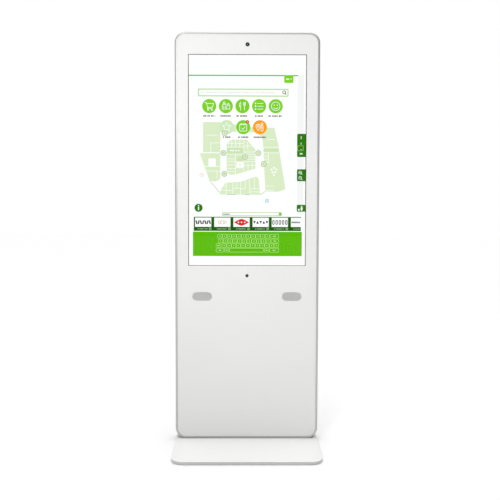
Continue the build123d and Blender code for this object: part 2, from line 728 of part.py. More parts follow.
def make_rear_cover():
    opening = door_outline(DOOR_GAP)
    outline = panel_outline() - opening
    outline -= Pos(INLET_X, INLET_Z) * Rectangle(INLET_BODY[0] + 0.6, INLET_BODY[1] + 0.6)
    for side in (-1, 1):
        outline -= Pos(side * FAN_X, FAN_Z) * fan_perforation()
    for x, z in screw_points() + fan_screw_points():
        outline -= Pos(x, z) * Circle(SCREW_R + THREAD)
    cover = plate(outline, *COVER_Y)
    # return flange round the door opening
    lip = door_outline(DOOR_GAP + SHEET) - opening
    cover += plate(lip, COVER_Y[0] - RETURN_DEPTH, COVER_Y[0])
    PARTS["rear_cover"] = cover

    head_h = 2.2
    screws = []
    for x, z in screw_points():
        screws.append(make_screw(x, z, COVER_Y[0] - 5, head_h))
    for x, z in fan_screw_points():
        screws.append(make_screw(x, z, COVER_Y[0] - 12, head_h))
    PARTS["rear_screws"] = group(screws)


def make_screw(x, z, tip_y, head_h):
    """Pan-head screw driven from behind, with a hexagon recess."""
    head_y = COVER_Y[1]
    screw = rod_y(x, z, SCREW_R, tip_y, head_y)
    head = rod_y(x, z, 4.0, head_y, head_y + head_h)
    head = fillet(head.edges().sort_by(Axis.Y)[-1], 0.9)
    recess = plate(Pos(x, z) * RegularPolygon(1.45, 6), head_y + 0.7, head_y + head_h)
    return screw + head - recess


def make_rear_door():
    door = plate(door_outline(0), *COVER_Y)
    rim = door_outline(0) - door_outline(-SHEET)
    door += plate(rim, COVER_Y[0] - RETURN_DEPTH, COVER_Y[0])
    for x in (-95, 95):
        door -= slots_y(x, DOOR_Z[0] + 90, 120, 4, 8, 13, *COVER_Y)
    door -= rod_y(LOCK_X, LOCK_Z, LOCK_BARREL_R + 0.1, *COVER_Y)
    PARTS["rear_door"] = door


def hinge_knuckle(z0, z1):
    return rod_z(HINGE_X, HINGE_Y, HINGE_R, z0, z1)


def make_hinges():
    third = HINGE_LENGTH / 3
    gap = 0.3
    leaf_y = (COVER_Y[1], COVER_Y[1] + SHEET)
    fixed_leaves = []
    door_leaves = []
    pins = []
    for z in HINGE_Z:
        z0 = z - HINGE_LENGTH / 2
        z1 = z + HINGE_LENGTH / 2
        z_low = z0 + third
        z_high = z1 - third
        bore = rod_z(HINGE_X, HINGE_Y, HINGE_PIN_R + RUNNING, z0, z1)

        fixed = block(HINGE_X - LEAF_REACH, HINGE_X - HINGE_R - 1, *leaf_y, z0, z1)
        for low, high in ((z0, z_low - gap), (z_high + gap, z1)):
            fixed += hinge_knuckle(low, high)
            fixed += block(HINGE_X - HINGE_R - 1, HINGE_X, *leaf_y, low, high)
        fixed_leaves.append(fixed - bore)

        moving = block(HINGE_X + HINGE_R + 1, HINGE_X + LEAF_REACH, *leaf_y, z0, z1)
        moving += hinge_knuckle(z_low, z_high)
        moving += block(HINGE_X, HINGE_X + HINGE_R + 1, *leaf_y, z_low, z_high)
        door_leaves.append(moving - bore)

        pin = rod_z(HINGE_X, HINGE_Y, HINGE_PIN_R, z0 - 1.5, z1)
        pin += rod_z(HINGE_X, HINGE_Y, HINGE_R - 1, z0 - 1.5, z0)
        pins.append(pin)
    PARTS["hinge_fixed_leaves"] = group(fixed_leaves)
    PARTS["hinge_door_leaves"] = group(door_leaves)
    PARTS["hinge_pins"] = group(pins)


def make_lock():
    barrel_y0 = COVER_Y[0] - RETURN_DEPTH - 0.5
    body = rod_y(LOCK_X, LOCK_Z, LOCK_BARREL_R, barrel_y0, COVER_Y[1])
    head = rod_y(LOCK_X, LOCK_Z, 12.0, COVER_Y[1], COVER_Y[1] + 3)
    head = fillet(head.edges().sort_by(Axis.Y)[-1], 1.2)
    body += head
    body -= rod_y(LOCK_X, LOCK_Z, PLUG_R + RUNNING, barrel_y0, COVER_Y[1] + 3)
    PARTS["lock_body"] = body

    nut_face = Pos(LOCK_X, LOCK_Z) * (RegularPolygon(15, 6) - Circle(LOCK_BARREL_R + THREAD))
    PARTS["lock_nut"] = plate(nut_face, COVER_Y[0] - 4, COVER_Y[0])

    cam_y = (barrel_y0 - 2.8, barrel_y0 - 0.8)
    plug = rod_y(LOCK_X, LOCK_Z, PLUG_R, cam_y[1], COVER_Y[1] + 2.6)
    plug -= block(LOCK_X - 0.7, LOCK_X + 0.7, COVER_Y[1] - 6, COVER_Y[1] + 3, LOCK_Z - 4, LOCK_Z + 4)
    plug += plate(Pos(LOCK_X, LOCK_Z) * Rectangle(7, 7), cam_y[0] - 2, cam_y[1])
    PARTS["lock_plug"] = plug

    # the cam points up while the door is unlocked
    cam_length = 34.0
    with BuildSketch() as cam_face:
        with Locations((LOCK_X, LOCK_Z)):
            Circle(8)
        with Locations((LOCK_X, LOCK_Z + cam_length / 2)):
            Rectangle(12, cam_length)
        with Locations((LOCK_X, LOCK_Z)):
            Rectangle(7, 7, mode=Mode.SUBTRACT)
    PARTS["lock_cam"] = plate(cam_face.sketch, *cam_y)


# ---------------------------------------------------------------- fans
FAN_HUB_R = 16.0
FAN_BLADES = 7


def make_fan(side):
    """Frame and rotor of one exhaust fan, bolted inside the rear cover."""
    x = side * FAN_X
    y0 = COVER_Y[0] - FAN_DEPTH
    y1 = COVER_Y[0]
    centre = Pos(x, FAN_Z)
    frame = plate(centre * RectangleRounded(FAN_SIZE, FAN_SIZE, 4), y0, y1)
    frame -= rod_y(x, FAN_Z, FAN_DUCT_R, y0, y1)
    frame += rod_y(x, FAN_Z, FAN_HUB_R + 1, y0, y0 + 3)
    for angle in (45, 135, 225, 315):
        strut = Rot(0, 0, angle) * Pos(FAN_DUCT_R / 2 + 6, 0) * Rectangle(FAN_DUCT_R - 10, 3.5)
        frame += plate(centre * strut, y0, y0 + 3)
    frame -= rod_y(x, FAN_Z, 1.5 + RUNNING, y0, y0 + 3)
    for sx in (-1, 1):
        for sz in (-1, 1):
            hole_x = x + sx * FAN_SCREW
            hole_z = FAN_Z + sz * FAN_SCREW
            frame -= rod_y(hole_x, hole_z, SCREW_R + THREAD, y0, y1)

    hub_y = (y0 + 4, y1 - 2)
    hub_mid = (hub_y[0] + hub_y[1]) / 2
    rotor = rod_y(x, FAN_Z, FAN_HUB_R, *hub_y)
    rotor = fillet(rotor.edges().sort_by(Axis.Y)[-1], 1.5)
    blade_reach = FAN_DUCT_R - 1.5
    blade = Box(blade_reach - FAN_HUB_R + 3, 1.8, 21)
    sweep_zone = rod_y(0, 0, blade_reach, -8, 8)
    for k in range(FAN_BLADES):
        pitched = Pos((blade_reach + FAN_HUB_R - 3) / 2, 0, 0) * Rot(38, 0, 0) * blade
        turned = Rot(0, k * 360 / FAN_BLADES, 0) * pitched
        rotor += Pos(x, hub_mid, FAN_Z) * (turned & sweep_zone)
    rotor += rod_y(x, FAN_Z, 1.5, y0 + 0.5, hub_y[0])
    name = "right" if side > 0 else "left"
    PARTS["fan_frame_" + name] = frame
    PARTS["fan_rotor_" + name] = rotor


# ---------------------------------------------------------------- leads clipped inside
def make_lead(points, diameter, name):
    """Round lead along straight runs joined by tangent arcs."""
    corners = [Vector(*p) for p in points]
    runs = [corners[k + 1] - corners[k] for k in range(len(corners) - 1)]
    radii = []
    for before, after in zip(runs, runs[1:]):
        half_turn = math.radians(before.get_angle(after)) / 2
        radii.append(0.45 * min(before.length, after.length) / math.tan(half_turn))
    path = FilletPolyline(*corners, radius=radii)
    start = Plane(origin=corners[0], z_dir=runs[0])
    tube = sweep(start * Circle(diameter / 2), path=path)
    expected = math.pi * (diameter / 2) ** 2 * path.length
    print(name, "radii", [round(r, 1) for r in radii], "volume ratio", round(tube.volume / expected, 4))
    return tube


def make_leads():
    inlet_top = INLET_Z + INLET_BODY[1] / 2
    breaker_mid = (BREAKER_X[0] + BREAKER_X[1]) / 2
    breaker_top = BREAKER_Z + 42
    mains_feed = [
        (INLET_X, 84, inlet_top),
        (INLET_X, 84, inlet_top + 40),
        (136, 72, inlet_top + 80),
        (breaker_mid, 60, BREAKER_Z - 84),
        (breaker_mid, 60, BREAKER_Z - 42),
    ]
    supply_feed = [
        (breaker_mid, 60, breaker_top),
        (breaker_mid, 60, breaker_top + 26),
        (142, 66, breaker_top + 54),
        (166, 66, breaker_top + 92),
        (165, 56, breaker_top + 122),
        (165, 56, SUPPLY["z"][0]),
    ]
    mains = [make_lead(mains_feed, 6, "mains feed"), make_lead(supply_feed, 6, "supply feed")]
    PARTS["mains_leads"] = group(mains)

    computer_top = COMPUTER["z"][1]
    board_edge = SCREEN_Z + BOARD_COVERS[0][2] - BOARD_COVERS[0][1] / 2
    display = [
        (-100, 57, computer_top),
        (-100, 57, computer_top + 50),
        (-92, 55, computer_top + 110),
        (-74, 53.5, computer_top + 175),
        (-70, 53.5, computer_top + 250),
        (-62, 53.2, computer_top + 330),
        (-60, 53, computer_top + 410),
        (-60, 53, board_edge),
    ]
    amplifier_side = AMPLIFIER["x"]
    basket_bottom = SPEAKER_Z - 23
    right_speaker = [
        (amplifier_side[1], 45, 425),
        (182, 45, 425),
        (212, 45, 452),
        (216, 44, 510),
        (210, 41, 570),
        (SPEAKER_X, 39, 612),
        (SPEAKER_X, 39, basket_bottom),
    ]
    left_speaker = [
        (amplifier_side[0], 45, 425),
        (26, 45, 425),
        (14, 45, 450),
        (13, 46, 500),
        (14, 46, 552),
        (-10, 45, 596),
        (-70, 43, 606),
        (-130, 42, 602),
        (-185, 40, 604),
        (-SPEAKER_X, 39, 620),
        (-SPEAKER_X, 39, basket_bottom),
    ]
    signal = [
        make_lead(display, 6, "display lead"),
        make_lead(right_speaker, 3, "right speaker lead"),
        make_lead(left_speaker, 3, "left speaker lead"),
    ]
    PARTS["signal_leads"] = group(signal)


def build():
    make_base()
    make_profiles()
    make_front_panel()
    make_screen()
    make_camera()
    make_sensor()
    make_speakers()
    make_chassis()
    make_equipment_tray()
    make_computer()
    make_power_supply()
    make_amplifier()
    make_breaker()
    make_inlet()
    make_rear_cover()
    make_rear_door()
    make_hinges()
    make_lock()
    for side in (-1, 1):
        make_fan(side)
    make_leads()

    os.makedirs("parts", exist_ok=True)
    for name, shape in PARTS.items():
        export_step(shape, "parts/" + name + ".step")
    print(len(PARTS), "nodes written")


build()
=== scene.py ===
"""Looks of a free-standing touchscreen kiosk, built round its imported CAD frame."""

import logging
import math
import random
from dataclasses import dataclass, field
from enum import Enum
from typing import Any, Iterable, Sequence

import bmesh
import bpy
from mathutils import Euler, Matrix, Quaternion, Vector
from mathutils.geometry import tessellate_polygon


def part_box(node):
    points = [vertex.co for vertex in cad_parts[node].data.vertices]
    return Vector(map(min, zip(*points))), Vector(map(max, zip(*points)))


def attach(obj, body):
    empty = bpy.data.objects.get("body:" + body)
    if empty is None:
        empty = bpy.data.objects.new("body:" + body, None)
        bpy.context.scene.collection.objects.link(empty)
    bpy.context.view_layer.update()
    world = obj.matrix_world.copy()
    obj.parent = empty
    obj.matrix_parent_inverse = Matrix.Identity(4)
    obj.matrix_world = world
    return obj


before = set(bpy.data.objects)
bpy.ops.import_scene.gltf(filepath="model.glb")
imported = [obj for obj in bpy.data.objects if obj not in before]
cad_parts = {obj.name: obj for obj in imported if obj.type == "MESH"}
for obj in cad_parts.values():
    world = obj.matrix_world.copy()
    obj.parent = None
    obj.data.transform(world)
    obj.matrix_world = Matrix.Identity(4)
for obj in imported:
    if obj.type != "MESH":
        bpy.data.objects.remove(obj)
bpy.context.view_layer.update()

LOG = logging.getLogger("kiosk")
MM = 0.001
FRAME_BODY = "kiosk_frame"
LAYER_STEP = 0.07  # between one film of the page and the next, mm
TAB_THICK = 1.5  # of the fixing tabs, mm
REAR = Vector((0, 1, 0))
UP = Vector((0, 0, 1))

Point = tuple[float, float]
Colour = tuple[float, float, float]


def fasten(piece: bpy.types.Object, body: str) -> bpy.types.Object:
    """Fasten a piece to a body.

    Args:
        piece: The piece.
        body: The body that it rides on.

    Returns:
        The same piece.
    """
    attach(piece, body)
    return piece


def linear(red: int, green: int, blue: int) -> Colour:
    """Turn a display colour into the scene's linear light.

    Args:
        red: Red from 0 to 255.
        green: Green from 0 to 255.
        blue: Blue from 0 to 255.

    Returns:
        The three linear values.
    """

    def channel(value: int) -> float:
        """One channel of the display curve."""
        part = value / 255
        return part / 12.92 if part <= 0.04045 else ((part + 0.055) / 1.055) ** 2.4

    return channel(red), channel(green), channel(blue)


# ---------------------------------------------------------------- shader maths
class Signal:
    """A number that varies over a surface, with the usual arithmetic."""

    def __init__(self, recipe: "Recipe", socket: bpy.types.NodeSocket) -> None:
        """Wrap one output socket of a recipe's node."""
        self.recipe = recipe
        self.socket = socket

    def _combine(self, operation: str, first: Any, second: Any) -> "Signal":
        """Add a Math node for one operation.

        Args:
            operation: The Math node's operation.
            first: The first operand.
            second: The second operand.

        Returns:
            The node's result.
        """
        node = self.recipe.add("ShaderNodeMath", {"operation": operation}, {0: first, 1: second})
        return Signal(self.recipe, node.outputs[0])

    def __add__(self, other: Any) -> "Signal":
        """Sum."""
        return self._combine("ADD", self, other)

    __radd__ = __add__

    def __mul__(self, other: Any) -> "Signal":
        """Product."""
        return self._combine("MULTIPLY", self, other)

    __rmul__ = __mul__

    def __sub__(self, other: Any) -> "Signal":
        """Difference."""
        return self._combine("SUBTRACT", self, other)

    def __rsub__(self, other: Any) -> "Signal":
        """Difference with this signal taken away."""
        return self._combine("SUBTRACT", other, self)

    def above(self, limit: float) -> "Signal":
        """1 where the signal is above the limit, otherwise 0."""
        return self._combine("GREATER_THAN", self, limit)


class Recipe:
    """A material being put together round one Principled shader."""

    def __init__(self, name: str) -> None:
        """Start an empty material with a shader and an output."""
        self.material = bpy.data.materials.new(name)
        self.material.use_nodes = True
        self.tree = self.material.node_tree
        self.tree.nodes.clear()
        self.shader = self.add("ShaderNodeBsdfPrincipled")
        output = self.add("ShaderNodeOutputMaterial")
        self.tree.links.new(self.shader.outputs[0], output.inputs[0])

    def add(
        self, kind: str, settings: dict[str, Any] | None = None, inputs: dict[Any, Any] | None = None
    ) -> bpy.types.Node:
        """Add a node, set its properties first and then its sockets.

        Args:
            kind: The node's type.
            settings: Properties of the node; "stops" fills a colour ramp.
            inputs: Socket name or index to a value, a socket or a Signal.

        Returns:
            The new node.
        """
        node = self.tree.nodes.new(kind)
        for name, value in (settings or {}).items():
            if name == "stops":
                self._fill_ramp(node, value)
            else:
                setattr(node, name, value)
        for key, value in (inputs or {}).items():
            self.feed(node.inputs[key], value)
        return node

    @staticmethod
    def _fill_ramp(node: bpy.types.Node, stops: Sequence[tuple[float, Colour]]) -> None:
        """Give a colour ramp its stops, in order of place."""
        elements = node.color_ramp.elements
        while len(elements) < len(stops):
            elements.new(0.5)
        for element, (place, colour) in zip(elements, stops):
            element.position = place
            element.color = (*colour, 1)

    def feed(self, socket: bpy.types.NodeSocket, value: Any) -> None:
        """Link or set one input socket."""
        if isinstance(value, Signal):
            self.tree.links.new(value.socket, socket)
        elif isinstance(value, bpy.types.NodeSocket):
            self.tree.links.new(value, socket)
        elif isinstance(value, tuple) and len(value) == 3 and socket.type == "RGBA":
            socket.default_value = (*value, 1)
        else:
            socket.default_value = value

    def place(self) -> bpy.types.NodeSocket:
        """Object coordinates, which are metres in the kiosk's own frame."""
        return self.add("ShaderNodeTexCoord").outputs["Object"]

    def normal(self) -> bpy.types.NodeSocket:
        """The surface's own direction, in the kiosk's frame."""
        return self.add("ShaderNodeTexCoord").outputs["Normal"]

    def stretched(self, scale: tuple[float, float, float]) -> bpy.types.NodeSocket:
        """Object coordinates scaled along each axis.

        Args:
            scale: The factor along X, Y and Z.

        Returns:
            The scaled vector.
        """
        node = self.add("ShaderNodeMapping", {}, {"Vector": self.place(), "Scale": scale})
        return node.outputs[0]

    def noise(
        self, size_mm: float, detail: float = 2.0, vector: bpy.types.NodeSocket | None = None
    ) -> Signal:
        """Soft noise whose blotches are about one size across.

        Args:
            size_mm: Width of a blotch in millimetres.
            detail: Levels of finer noise.
            vector: Coordinates to use in place of the plain ones.

        Returns:
            Values from 0 to 1.
        """
        inputs = {"Vector": vector or self.place(), "Scale": 1 / (size_mm * MM), "Detail": detail}
        return Signal(self, self.add("ShaderNodeTexNoise", {}, inputs).outputs["Fac"])

    def pits(self, size_mm: float) -> Signal:
        """Distance to the nearest of many scattered points, from 0 at each point."""
        inputs = {"Vector": self.place(), "Scale": 1 / (size_mm * MM)}
        return Signal(self, self.add("ShaderNodeTexVoronoi", {}, inputs).outputs["Distance"])

    def blend(self, factor: Any, first: Any, second: Any) -> bpy.types.NodeSocket:
        """Mix two colours.

        Args:
            factor: 0 for the first, 1 for the second.
            first: A colour or a colour socket.
            second: A colour or a colour socket.

        Returns:
            The mixed colour.
        """
        node = self.add("ShaderNodeMix", {"data_type": "RGBA"}, {0: factor, 6: first, 7: second})
        return node.outputs[2]

    def emboss(self, height: Signal, depth_mm: float, strength: float = 1.0) -> None:
        """Let a height signal tilt the surface.

        Args:
            height: Values from 0 to 1.
            depth_mm: What 1 stands for, in millimetres.
            strength: How much of the tilt is used.
        """
        inputs = {"Height": height, "Distance": depth_mm * MM, "Strength": strength}
        bump = self.add("ShaderNodeBump", {}, inputs)
        self.feed(self.shader.inputs["Normal"], bump.outputs[0])

    def set(self, **values: Any) -> None:
        """Set or link sockets of the Principled shader, with _ standing for a space."""
        for name, value in values.items():
            self.feed(self.shader.inputs[name.replace("_", " ")], value)


# ---------------------------------------------------------------- finishes
@dataclass(frozen=True)
class PowderCoat:
    """Baked powder paint: a faint orange peel with a soft sheen."""

    name: str
    colour: Colour
    roughness: float = 0.42
    peel_mm: float = 1.3
    peel_depth_mm: float = 0.012

    def make(self) -> bpy.types.Material:
        """Build the material."""
        recipe = Recipe(self.name)
        cloud = recipe.noise(260, 3)
        speck = recipe.noise(0.9, 1)
        darker = tuple(part * 0.965 for part in self.colour)
        mottled = recipe.blend(cloud, self.colour, darker)
        recipe.set(
            Base_Color=recipe.blend(speck * 0.35, mottled, tuple(part * 0.93 for part in self.colour)),
            Roughness=cloud * 0.06 + speck * 0.05 + (self.roughness - 0.05),
            Specular_IOR_Level=0.4,
        )
        recipe.emboss(recipe.noise(self.peel_mm, 2), self.peel_depth_mm)
        return recipe.material


@dataclass(frozen=True)
class CoatedPlate:
    """Thick steel plate, powder coated on its broad faces; painted shade darkens its upright edge faces."""

    name: str
    colour: Colour
    edge_shade_colour: Colour

    def make(self) -> bpy.types.Material:
        """Build the material."""
        recipe = Recipe(self.name)
        facing = recipe.add("ShaderNodeSeparateXYZ", {}, {0: recipe.normal()})
        upright = Signal(recipe, facing.outputs["Z"])
        coated = (upright * upright).above(0.5)
        cloud = recipe.noise(300, 3)
        coat = recipe.blend(cloud, self.colour, tuple(part * 0.975 for part in self.colour))
        edge_streaks = recipe.noise(0.5, 2, recipe.stretched((1, 1, 0.05)))
        # painted shade: the upright edge faces get a darker grey metal colour than the top, standing in for
        # the shade they fall in
        shaded_edge = recipe.blend(edge_streaks, self.edge_shade_colour, tuple(part * 0.85 for part in self.edge_shade_colour))
        recipe.set(
            Base_Color=recipe.blend(coated, shaded_edge, coat),
            Metallic=0.6 - coated * 0.6,
            Roughness=cloud * 0.08 + 0.36,
            Specular_IOR_Level=0.4,
        )
        recipe.emboss(recipe.noise(1.2, 2), 0.01)
        return recipe.material


@dataclass(frozen=True)
class AnodisedMetal:
    """Extruded aluminium with a satin anodised skin, drawn along one axis."""

    name: str
    colour: Colour
    grain: tuple[float, float, float]
    roughness: float = 0.42
    metallic: float = 0.92

    def make(self) -> bpy.types.Material:
        """Build the material."""
        recipe = Recipe(self.name)
        drawn = recipe.noise(0.45, 3, recipe.stretched(self.grain))
        cloud = recipe.noise(120, 2)
        recipe.set(
            Base_Color=recipe.blend(drawn, self.colour, tuple(part * 0.9 for part in self.colour)),
            Metallic=self.metallic,
            Roughness=drawn * 0.1 + cloud * 0.06 + (self.roughness - 0.08),
        )
        recipe.emboss(drawn, 0.004)
        return recipe.material


@dataclass(frozen=True)
class PlatedSteel:
    """Zinc-plated or galvanised sheet with cloudy patches and fine rolling lines."""

    name: str
    colour: Colour
    patch_mm: float = 14.0
    roughness: float = 0.38

    def make(self) -> bpy.types.Material:
        """Build the material."""
        recipe = Recipe(self.name)
        patches = recipe.noise(self.patch_mm, 4)
        rolled = recipe.noise(0.5, 2, recipe.stretched((1, 1, 0.04)))
        recipe.set(
            Base_Color=recipe.blend(patches, self.colour, tuple(part * 0.78 for part in self.colour)),
            Metallic=0.9,
            Roughness=patches * 0.18 + rolled * 0.06 + (self.roughness - 0.12),
        )
        recipe.emboss(rolled, 0.005)
        return recipe.material


@dataclass(frozen=True)
class PaintedBlack:
    """Thin black paint on steel, a little worn to grey in patches."""

    name: str
    colour: Colour = (0.018, 0.018, 0.02)
    roughness: float = 0.5

    def make(self) -> bpy.types.Material:
        """Build the material."""
        recipe = Recipe(self.name)
        dust = recipe.noise(35, 4)
        recipe.set(
            Base_Color=recipe.blend(dust * 0.5, self.colour, (0.05, 0.05, 0.052)),
            Roughness=dust * 0.15 + (self.roughness - 0.07),
        )
        recipe.emboss(recipe.noise(0.8, 2), 0.02)
        return recipe.material


@dataclass(frozen=True)
class MouldedPlastic:
    """Injection-moulded plastic with a spark-eroded texture."""

    name: str
    colour: Colour
    roughness: float = 0.45
    texture_mm: float = 0.35
    texture_depth_mm: float = 0.02
    coat: float = 0.0

    def make(self) -> bpy.types.Material:
        """Build the material."""
        recipe = Recipe(self.name)
        texture = recipe.noise(self.texture_mm, 2)
        flow = recipe.noise(18, 2)
        paler = tuple(min(1.0, part * 1.12 + 0.004) for part in self.colour)
        recipe.set(
            Base_Color=recipe.blend(flow, self.colour, paler),
            Roughness=texture * 0.1 + flow * 0.06 + (self.roughness - 0.08),
            Coat_Weight=self.coat,
        )
        recipe.emboss(texture, self.texture_depth_mm)
        return recipe.material


@dataclass(frozen=True)
class Rubber:
    """Dull rubber or foam with open pores."""

    name: str
    colour: Colour
    pore_mm: float = 0.6

    def make(self) -> bpy.types.Material:
        """Build the material."""
        recipe = Recipe(self.name)
        pores = recipe.pits(self.pore_mm)
        bloom = recipe.noise(9, 3)
        recipe.set(
            Base_Color=recipe.blend(
                bloom * 0.6, self.colour, tuple(part * 1.8 + 0.01 for part in self.colour)
            ),
            Roughness=bloom * 0.1 + 0.78,
            Specular_IOR_Level=0.25,
        )
        recipe.emboss(pores, 0.05)
        return recipe.material


@dataclass(frozen=True)
class ClearGlass:
    """Toughened glass with an anti-glare coat, a trace of green and a faint wipe haze."""

    name: str
    tint: Colour = (0.97, 0.99, 0.98)

    def make(self) -> bpy.types.Material:
        """Build the material."""
        recipe = Recipe(self.name)
        haze = recipe.noise(90, 3)
        recipe.set(
            Base_Color=recipe.blend(haze * 0.3, self.tint, tuple(part * 0.985 for part in self.tint)),
            Roughness=haze * 0.02,
            Transmission_Weight=1.0,
            IOR=1.18,
        )
        return recipe.material


@dataclass(frozen=True)
class CoatedLens:
    """Dark lens glass with a green and violet anti-reflection coat."""

    name: str

    def make(self) -> bpy.types.Material:
        """Build the material."""
        recipe = Recipe(self.name)
        swirl = recipe.noise(5, 2)
        ramp = {"stops": [(0.35, (0.01, 0.05, 0.035)), (0.65, (0.03, 0.02, 0.06))]}
        tint = recipe.add("ShaderNodeValToRGB", ramp, {0: swirl}).outputs[0]
        recipe.set(Base_Color=tint, Roughness=swirl * 0.02 + 0.03, Coat_Weight=1.0)
        recipe.set(Coat_Tint=(0.45, 0.9, 0.7), Specular_IOR_Level=0.9)
        return recipe.material


@dataclass(frozen=True)
class BrightChrome:
    """Polished plating with hairline scratches."""

    name: str

    def make(self) -> bpy.types.Material:
        """Build the material."""
        recipe = Recipe(self.name)
        scratches = recipe.noise(0.3, 2, recipe.stretched((1, 1, 0.08)))
        recipe.set(
            Base_Color=recipe.blend(scratches, (0.78, 0.78, 0.78), (0.66, 0.66, 0.67)),
            Metallic=1.0,
            Roughness=scratches * 0.12 + 0.08,
        )
        recipe.emboss(scratches, 0.003)
        return recipe.material


@dataclass(frozen=True)
class WovenCloth:
    """Plain acoustic cloth with crossing threads."""

    name: str
    colour: Colour
    thread_mm: float = 0.7

    def make(self) -> bpy.types.Material:
        """Build the material."""
        recipe = Recipe(self.name)
        threads = {"wave_type": "BANDS", "bands_direction": "X"}
        across = {"wave_type": "BANDS", "bands_direction": "Z"}
        inputs = {"Vector": recipe.place(), "Scale": 0.32 / (self.thread_mm * MM), "Distortion": 0.6}
        warp = Signal(recipe, recipe.add("ShaderNodeTexWave", threads, inputs).outputs["Fac"])
        weft = Signal(recipe, recipe.add("ShaderNodeTexWave", across, inputs).outputs["Fac"])
        weave = warp * weft
        recipe.set(
            Base_Color=recipe.blend(weave, tuple(part * 0.4 for part in self.colour), self.colour),
            Roughness=0.9,
            Sheen_Weight=0.3,
        )
        recipe.emboss(weave, 0.15)
        return recipe.material


@dataclass(frozen=True)
class LitInk:
    """One colour of the lit display, with the backlight's slight unevenness."""

    name: str
    colour: Colour
    strength: float = 1.0

    def make(self) -> bpy.types.Material:
        """Build the material."""
        recipe = Recipe(self.name)
        unevenness = recipe.noise(230, 2)
        dimmer = tuple(part * 0.965 for part in self.colour)
        recipe.set(
            Base_Color=(0.0, 0.0, 0.0),
            Roughness=0.6,
            Specular_IOR_Level=0.0,
            Emission_Color=recipe.blend(unevenness, self.colour, dimmer),
            Emission_Strength=self.strength,
        )
        return recipe.material


@dataclass(frozen=True)
class FloorPaint:
    """Plain pale studio floor."""

    name: str
    colour: Colour = (0.93, 0.93, 0.93)

    def make(self) -> bpy.types.Material:
        """Build the material."""
        recipe = Recipe(self.name)
        cloud = recipe.noise(900, 2)
        recipe.set(
            Base_Color=recipe.blend(cloud, self.colour, tuple(part * 0.99 for part in self.colour)),
            Roughness=0.85,
            Specular_IOR_Level=0.1,
        )
        return recipe.material


# ---------------------------------------------------------------- flat artwork on the display
class Ink(Enum):
    """Colours of the wayfinding page."""

    PAGE = (255, 255, 255)
    MARGIN_GREY = (246, 246, 246)
    LEAF = (126, 210, 28)
    HEADER_GREEN = (104, 176, 20)
    PANEL_GREEN = (92, 186, 0)
    KEY_LINE = (186, 236, 122)
    KEY_GLYPH = (226, 248, 190)
    BOTTLE_GREEN = (44, 122, 10)
    STRIP_GREEN = (28, 92, 10)
    CAPTION_MARK = (150, 192, 132)
    MAP_GREEN = (219, 236, 198)
    MAP_GREEN_DEEP = (206, 229, 180)
    FADED_GREEN = (208, 234, 190)
    FIELD_BORDER = (162, 212, 108)
    PIN_GREY = (172, 188, 160)
    WALL_GREY = (176, 182, 172)
    WORD_GREY = (92, 96, 92)
    PLACEHOLDER = (226, 230, 224)
    CHARCOAL = (36, 38, 38)
    AMBER = (255, 162, 12)
    RED = (222, 44, 36)
    TAN = (206, 170, 112)
    SKY = (186, 220, 238)
    PALE_ROSE = (240, 190, 150)


class InkWell:
    """Makes each ink's material once and hands it out."""

    def __init__(self, strength: float) -> None:
        """Start with no inks made."""
        self.strength = strength
        self.made: dict[Ink, bpy.types.Material] = {}

    def material(self, ink: Ink) -> bpy.types.Material:
        """The material of one ink."""
        if ink not in self.made:
            finish = LitInk("ink_" + ink.name.lower(), linear(*ink.value), self.strength)
            self.made[ink] = finish.make()
        return self.made[ink]


def arc_points(centre: Point, radius: float, start: float, end: float, steps: int) -> list[Point]:
    """Points along an arc, both ends included.

    Args:
        centre: The arc's centre.
        radius: Its radius.
        start: First angle in degrees, clockwise from the right as v runs down.
        end: Last angle in degrees.
        steps: How many spans it has.

    Returns:
        The points in order.
    """
    angles = [math.radians(start + (end - start) * k / steps) for k in range(steps + 1)]
    return [(centre[0] + radius * math.cos(a), centre[1] + radius * math.sin(a)) for a in angles]


def rounded_box(left: float, top: float, right: float, bottom: float, radius: float) -> list[Point]:
    """Outline of a box with round corners.

    Args:
        left: Left side.
        top: Upper side.
        right: Right side.
        bottom: Lower side.
        radius: Corner radius; 0 gives sharp corners.

    Returns:
        The outline's points.
    """
    if radius <= 0:
        return [(left, top), (right, top), (right, bottom), (left, bottom)]
    corners = (
        (right - radius, top + radius, -90),
        (right - radius, bottom - radius, 0),
        (left + radius, bottom - radius, 90),
        (left + radius, top + radius, 180),
    )
    outline: list[Point] = []
    for u, v, start in corners:
        outline += arc_points((u, v), radius, start, start + 90, 6)
    return outline


def circle_points(centre: Point, radius: float, sides: int = 40) -> list[Point]:
    """Points round a whole circle."""
    return arc_points(centre, radius, 0, 360, sides)[:-1]


